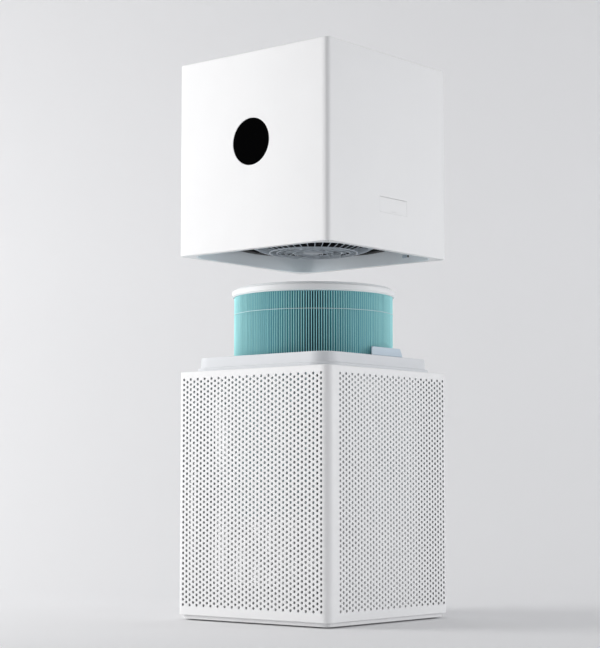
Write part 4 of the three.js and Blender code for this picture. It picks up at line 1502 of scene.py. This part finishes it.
@dataclass
class InletSocket:
    """The socket under the head: tapered walls with a blue cast of painted shade, a ceiling painted
    near-black as shade, domed guard and catches.
    """

    corner: float = 25.5 * MM
    wall: float = 2.5 * MM
    draft: float = 0.5 * MM
    ribs: int = 44
    inner_ribs: int = 30
    swirls: int = 12
    rib_width: float = 0.95 * MM

    def build(self) -> None:
        """Builds the lining, the ceiling, the guard and the catches."""
        skirt_low, skirt_high = reach_of("socket_skirt")
        wall_low, wall_high = reach_of("socket_wall")
        outer, upper = float(skirt_high[0]), float(wall_high[0])
        bottom, shelf, ceiling = float(skirt_low[2]), float(wall_low[2]), float(wall_high[2])
        mouth, inner, d = outer - 2.2 * MM, upper - self.wall, self.draft
        theta = directions([(mouth, self.corner + 3.5 * MM), (inner, self.corner)], 9, 12)

        def lining(half: float, z: float) -> Array:
            """A ring of the lining, its corner growing with its width."""
            return ring(theta, square_reach(theta, half, self.corner + half - inner), z)

        rings = [lining(half, z) for half, z in (
            (outer, shelf), (outer, bottom + 0.5 * MM), (outer - 0.4 * MM, bottom + 0.1 * MM),
            (mouth + 0.6 * MM, bottom + 0.1 * MM), (mouth + 0.1 * MM, bottom + 0.6 * MM),
            (inner - d, ceiling - 0.05 * MM), (upper, ceiling - 0.05 * MM),
            (upper, shelf + 0.3 * MM), (upper + 0.3 * MM, shelf))]
        # The lining's blue cast is painted shade.
        made = piece("socket_lining", loft(np.stack(rings), closed=True), RECESS_SHADE_BLUE, Body.HEAD,
                     "socket_skirt", ["socket_skirt", "socket_wall"])
        even_shading(made)
        self.build_ceiling(upper, ceiling)
        self.build_guard(ceiling)
        self.build_clips(inner, shelf)

    def build_ceiling(self, half: float, under: float) -> None:
        """Builds the ceiling, painted near-black as shade, with the tab's notch, and the ring that meets the
        gasket, painted the same.

        Args:
            half: Half width of the ceiling.
            under: Height of its underside.
        """
        low, high = reach_of("inlet_ceiling")
        hole = float(reach_of("inlet_guard")[1][0]) + 0.3 * MM
        theta = directions([(half, self.corner + self.wall)], 9, 24)
        reach = square_reach(theta, half, self.corner + self.wall)
        top, e = float(high[2]), 0.4 * MM
        rings = np.stack([ring(theta, r, z) for r, z in (
            (reach, under), (hole + e, under), (hole, under + e), (hole, top), (reach, top))])
        made = piece("inlet_plate", loft(rings, closed=True), CEILING_SHADE_BLACK, Body.HEAD,
                     "inlet_ceiling")
        tab_low, tab_high = reach_of("interlock_tab")
        gap = 2.4 * MM
        width, depth = tab_high[1] - tab_low[1] + 2 * gap, half - tab_low[0] + gap
        notch = plate(depth + 2 * MM, width, 0.6 * MM, np.array([(0, under - MM), (0, top + MM)]))
        cut(made, [notch.moved((half + 2 * MM - (depth + 2 * MM) / 2, (tab_low[1] + tab_high[1]) / 2, 0.0))])
        even_shading(made)
        low, high = reach_of("gasket_land")
        r1 = float(high[0])
        r0 = r1 - 11.4 * MM
        section = band(r0, r1, low[2], high[2] - 0.05 * MM, (0.8 * MM, 0.8 * MM, 0.0, 0.0))
        # The gasket ring takes the same near-black of painted shade.
        piece("gasket_seat_ring", revolve(section, 128), CEILING_SHADE_BLACK, Body.HEAD, "gasket_land")

    def build_guard(self, ceiling: float) -> None:
        """Builds the domed guard: hub, rings, swirled inner ribs and straight outer ribs.

        The dome falls from the rim to the middle ring along a quarter wave, and runs level
        from there to the hub. Inner ribs lean round the axis as they go out.

        Args:
            ceiling: Height of the ceiling's underside.
        """
        low, high = reach_of("inlet_guard")
        rim, base, top = float(high[0]), float(low[2]), float(high[2])

        def dome(r: Array | float) -> Array:
            """Height of the guard's underside at a radius."""
            share = np.clip((np.asarray(r) - 0.60 * rim) / (0.39 * rim), 0.0, 1.0)
            return base + 0.6 * MM + (ceiling - base - 0.6 * MM) * (1.0 - np.cos(share * math.pi / 2)) ** 0.9

        def hoop(r: float, width: float, height: float) -> Surface:
            """A rounded hoop lying in the dome."""
            z = max(float(dome(r)) - height / 2, base)
            soft = (0.35 * MM, 0.35 * MM, 0.3 * MM, 0.3 * MM)
            return revolve(band(r - width / 2, r + width / 2, z, z + height, soft, 3), 120)

        soft = (0.6 * MM, 0.5 * MM, 0.0, 0.0)
        frame_ring = revolve(band(rim - 2.4 * MM, rim, ceiling - 0.8 * MM, top, soft, 3), 144)
        hub_r = 0.165 * rim
        hub = revolve(rounded_path([
            (0.0004, base, 0.0), (hub_r * 0.55, base + 0.2 * MM, 1.0 * MM),
            (hub_r, base + 0.8 * MM, 0.7 * MM), (hub_r, base + 3.4 * MM, 0.0),
            (0.0004, base + 3.4 * MM, 0.0)], 4), 72)
        hoops = [hoop(share * rim, width * MM, height * MM) for share, width, height in (
            (0.29, 1.3, 1.2), (0.42, 1.2, 1.2), (0.535, 1.5, 1.3), (0.64, 2.0, 1.4), (0.82, 1.2, 1.2))]

        def spoke(r0: float, r1: float, lean: float, count: int, width: float, start: float) -> Surface:
            """Ribs from one radius to another, leaning by an angle as they go out."""
            t = np.linspace(0.0, 1.0, 9)
            r = r0 + (r1 - r0) * t
            a = lean * (t ** 0.8 - 0.5)
            path = np.stack([r * np.cos(a), r * np.sin(a), dome(r) + 0.2 * MM], -1)
            return repeated(bar(path, width, 1.1 * MM, 6), count, start)

        ribs = [spoke(0.63 * rim, 0.985 * rim, 0.0, self.ribs, self.rib_width, 0.0),
                spoke(0.53 * rim, 0.64 * rim, 0.1, self.inner_ribs, self.rib_width, 0.05),
                spoke(0.41 * rim, 0.54 * rim, 0.28, self.inner_ribs // 2, 1.2 * MM, 0.0),
                spoke(0.285 * rim, 0.425 * rim, -0.42, self.inner_ribs // 2, 1.2 * MM, 0.1),
                spoke(0.15 * rim, 0.295 * rim, 0.75, self.swirls, 1.3 * MM, 0.0)]
        piece("domed_guard", frame_ring.joined(hub, *hoops, *ribs), GUARD_GREY, Body.HEAD,
              "inlet_guard")

    def build_clips(self, inner: float, shelf: float) -> None:
        """Builds the small catches on the rear and front walls of the socket, and their nibs.

        Args:
            inner: Half width inside the upper wall.
            shelf: Height of the upper wall's foot.
        """
        clip = soft_plate(7.0 * MM, 4.2 * MM, 0.9 * MM, 1.3 * MM, 0.45 * MM)
        nib = soft_plate(2.6 * MM, 3.4 * MM, 0.5 * MM, 0.9 * MM, 0.25 * MM).moved((5.4 * MM, 0.3 * MM, 0.0))
        z = shelf + 0.2 * MM
        inward, x = inner + 2.2 * MM, 62.0 * MM
        for name, made, finish in (("socket_catches", clip, TAB_GREY), ("catch_nibs", nib, INNER_GREY)):
            pair = facing(made, TO_FRONT, (x, inward, z)).joined(facing(made, TO_BACK, (x, -inward, z)))
            piece(name, pair, finish, Body.HEAD, "socket_wall", replaces=())


@dataclass
class OutletGrille:
    """The round grille in the top: rim, fine radial slats, tie ring and hub."""

    slats: int = 72
    slat_width: float = 1.5 * MM

    def build(self) -> None:
        """Builds the grille inside its solid's box."""
        low, high = reach_of("outlet_grille")
        rim, z0, z1 = float(high[0]), float(low[2]), float(high[2])
        outer = revolve(band(rim - 3.2 * MM, rim, z0, z1, (0.3 * MM, 0.3 * MM, 0.6 * MM, 0.9 * MM)), 160)
        tie_r = rim * 0.62
        tie = revolve(band(tie_r, tie_r + 2 * MM, z0 + 0.8 * MM, z1 - 0.4 * MM,
                           (0.3 * MM, 0.3 * MM, 0.6 * MM, 0.6 * MM)), 120)
        hub = revolve(rounded_path([
            (0.0004, z0, 0.0), (rim * 0.26, z0, 0.4 * MM), (rim * 0.26, z1 - 0.8 * MM, 1.0 * MM),
            (rim * 0.2, z1 - 0.25 * MM, 2.0 * MM), (0.0004, z1 - 0.1 * MM, 0.0)], 6), 96)

        def slats(r0: float, r1: float, count: int, start: float) -> Surface:
            """Level slats that run straight out between two radii."""
            t = np.linspace(0.0, 1.0, 7)
            r = r0 + (r1 - r0) * t
            path = np.stack([r, np.zeros(7), np.full(7, (z0 + z1) / 2) - 0.1 * MM], -1)
            return repeated(bar(path, self.slat_width, z1 - z0 - 1.0 * MM, 8), count, start)

        made = outer.joined(tie, hub, slats(rim * 0.63, rim * 0.978, self.slats, 0.0),
                            slats(rim * 0.245, rim * 0.632, self.slats // 2, 0.0))
        piece("outlet_slats", made, GRILLE_GREY, Body.HEAD, "outlet_grille")


@dataclass
class FanWorks:
    """The fan and everything inside the head."""

    blades: int = 9
    sweep: float = 0.5

    def build(self) -> None:
        """Builds the impeller: a dished back plate, swept blades and a tie ring.

        A blade is a sheet whose angle lags by the square of the share of the way out.
        """
        low, high = reach_of("impeller")
        r1, z0, z1 = float(high[0]), float(low[2]), float(high[2])
        hub = r1 * 0.32
        bore = 4.3 * MM
        dip = z1 - (z1 - z0) * 0.4
        back = revolve(rounded_path([
            (bore, dip, 0.5 * MM), (hub * 0.6, dip, 3.0 * MM), (hub * 1.3, z1 - 9.0 * MM, 9.0 * MM),
            (r1 - 0.3 * MM, z1 - 2.5 * MM, 1.0 * MM), (r1 - 0.3 * MM, z1, 1.0 * MM),
            (hub * 1.2, z1 - 5.0 * MM, 9.0 * MM), (bore, dip + 5.0 * MM, 0.5 * MM)], 6), 120)
        tie = revolve(band(r1 * 0.885, r1 - 0.2 * MM, z0, z0 + 2.5 * MM, (0.9 * MM,) * 4), 120)
        u, v = np.meshgrid(np.linspace(0.0, 1.0, 12), np.linspace(0.0, 1.0, 8))
        r = r1 * (0.62 + 0.36 * u)
        z = z0 + 1.2 * MM + (z1 - z0 - 3.2 * MM) * v
        thick = (1.0 - 0.45 * u) * MM
        sides = []
        for side in (-1.0, 1.0):
            a = self.sweep * u * u + side * thick / r
            sides.append(np.stack([r * np.cos(a), r * np.sin(a), z], -1))
        around = np.concatenate([sides[0], sides[1][:, ::-1]], axis=1)
        blade = loft(around)
        piece("fan_wheel", back.joined(tie, repeated(blade, self.blades)), FAN_GREY, Body.FAN,
              "impeller")

    def dress(self) -> None:
        """Dresses the solids that stay."""
        finishes = {
            "fan_duct": DUCT_BLACK, "motor_housing": WORKS_BLACK, "motor_bracket": INNER_GREY,
            "bearing_lower": STEEL, "bearing_upper": STEEL, "fan_shaft": STEEL, "fan_nut": STEEL,
            "control_board": GREEN_BOARD, "power_board": GREEN_BOARD, "display_board": GREEN_BOARD,
            "button_board": GREEN_BOARD, "mains_choke": COPPER, "dust_sensor": SHEET_STEEL,
            "display_holder": WORKS_BLACK}
        for node, finish in finishes.items():
            dress(node, finish)


# --------------------------------------------------------------------------------------
# Studio
# --------------------------------------------------------------------------------------
@dataclass
class Studio:
    """Camera, lights, and the pale floor that curves up into the wall behind."""

    eye: tuple[float, float, float] = (1.3977, -1.7100, 0.1600)
    rise: float = 5.330
    heading: float = 39.700
    lens: float = 98.10
    floor_behind: float = 0.45
    bend: float = 0.6
    reach: float = 9.0
    wall_height: float = 6.0
    sky: Colour = (0.80, 0.805, 0.82)
    sky_strength: float = 0.48
    film_width: float = 36.0
    far_clip: float = 50.0
    aim_height: float = 0.36

    def build(self) -> None:
        """Sets the camera, the backdrop, the lights and the sky."""
        scene = bpy.context.scene
        scene.view_settings.view_transform = "Standard"
        view = bpy.data.cameras.new("camera")
        view.lens, view.sensor_width, view.clip_end = self.lens, self.film_width, self.far_clip
        camera = bpy.data.objects.new("camera", view)
        camera.location = self.eye
        camera.rotation_euler = (math.pi / 2 + math.radians(self.rise), 0.0, math.radians(self.heading))
        scene.collection.objects.link(camera)
        scene.camera = camera
        self.build_backdrop()
        self.add_light("key_window", (-1.15, -0.95, 0.70), (0.9, 1.3), 16.5, (1.0, 0.995, 0.985))
        self.add_light("right_window", (1.7, 1.2, 0.52), (0.9, 1.0), 13.0, (0.98, 0.99, 1.0))
        self.add_light("overhead", (0.0, -0.3, 2.9), (2.4, 2.4), 11.0, (1.0, 1.0, 1.0))
        self.add_light("low_bounce", (1.75, -0.75, 0.14), (1.2, 0.2), 1.4, (0.96, 0.98, 1.0))
        world = bpy.data.worlds.new("studio_sky")
        world.use_nodes = True
        background = world.node_tree.nodes["Background"]
        background.inputs["Color"].default_value = (*self.sky, 1.0)
        background.inputs["Strength"].default_value = self.sky_strength
        scene.world = world

    def build_backdrop(self) -> None:
        """Builds the floor and wall as one sheet.

        The sheet is a flat floor, a quarter circle and an upright wall, swept sideways
        square to the camera's heading.
        """
        h = math.radians(self.heading)
        ahead, across = np.array([-math.sin(h), math.cos(h), 0.0]), np.array([math.cos(h), math.sin(h), 0.0])
        a = np.linspace(0.0, math.pi / 2, 24)
        curve = np.stack([self.floor_behind + self.bend * np.sin(a), self.bend - self.bend * np.cos(a)], -1)
        run = np.concatenate([[(-self.reach, 0.0)], curve,
                              [(self.floor_behind + self.bend, self.wall_height)]])
        side = np.linspace(-self.reach, self.reach, 5)
        up = np.array([0.0, 0.0, 1.0])
        points = run[:, None, :1] * ahead + side[None, :, None] * across + run[:, None, 1:] * up
        made = bpy.data.objects.new("studio_floor", bpy.data.meshes.new("studio_floor"))
        quads = grid_quads(len(run), len(side), False, False)
        made.data.from_pydata(points.reshape(-1, 3).tolist(), [], quads.tolist())
        made.data.polygons.foreach_set("use_smooth", np.ones(len(quads), bool))
        made.data.materials.append(PAPER.material())
        bpy.context.scene.collection.objects.link(made)

    def add_light(self, name: str, place: tuple[float, float, float], size: tuple[float, float],
                  power: float, colour: Colour) -> None:
        """Adds a soft rectangular light aimed at the middle of the object.

        Args:
            name: Name of the light.
            place: Where it stands.
            size: Its width and height.
            power: Its power in watts.
            colour: Its colour.
        """
        lamp = bpy.data.lights.new(name, "AREA")
        lamp.shape, lamp.size, lamp.size_y, lamp.energy, lamp.color = "RECTANGLE", *size, power, colour
        made = bpy.data.objects.new(name, lamp)
        made.location = place
        aim = np.array([0.0, 0.0, self.aim_height]) - np.array(place)
        yaw = math.atan2(aim[1], aim[0]) - math.pi / 2
        pitch = math.atan2(aim[2], math.hypot(aim[0], aim[1])) + math.pi / 2
        made.rotation_euler = (pitch, 0.0, yaw)
        bpy.context.scene.collection.objects.link(made)


def main() -> None:
    """Builds the studio and every sub-assembly, and reports each piece as it is made."""
    logging.basicConfig(level=logging.INFO, format="%(name)s: %(message)s")
    Studio().build()
    base = PerforatedBase()
    base.build()
    base.dress()
    FilterCollar().build()
    PleatedFilter().build()
    HeadShell().build()
    InletSocket().build()
    OutletGrille().build()
    works = FanWorks()
    works.build()
    works.dress()


if __name__ == "__main__":
    main()
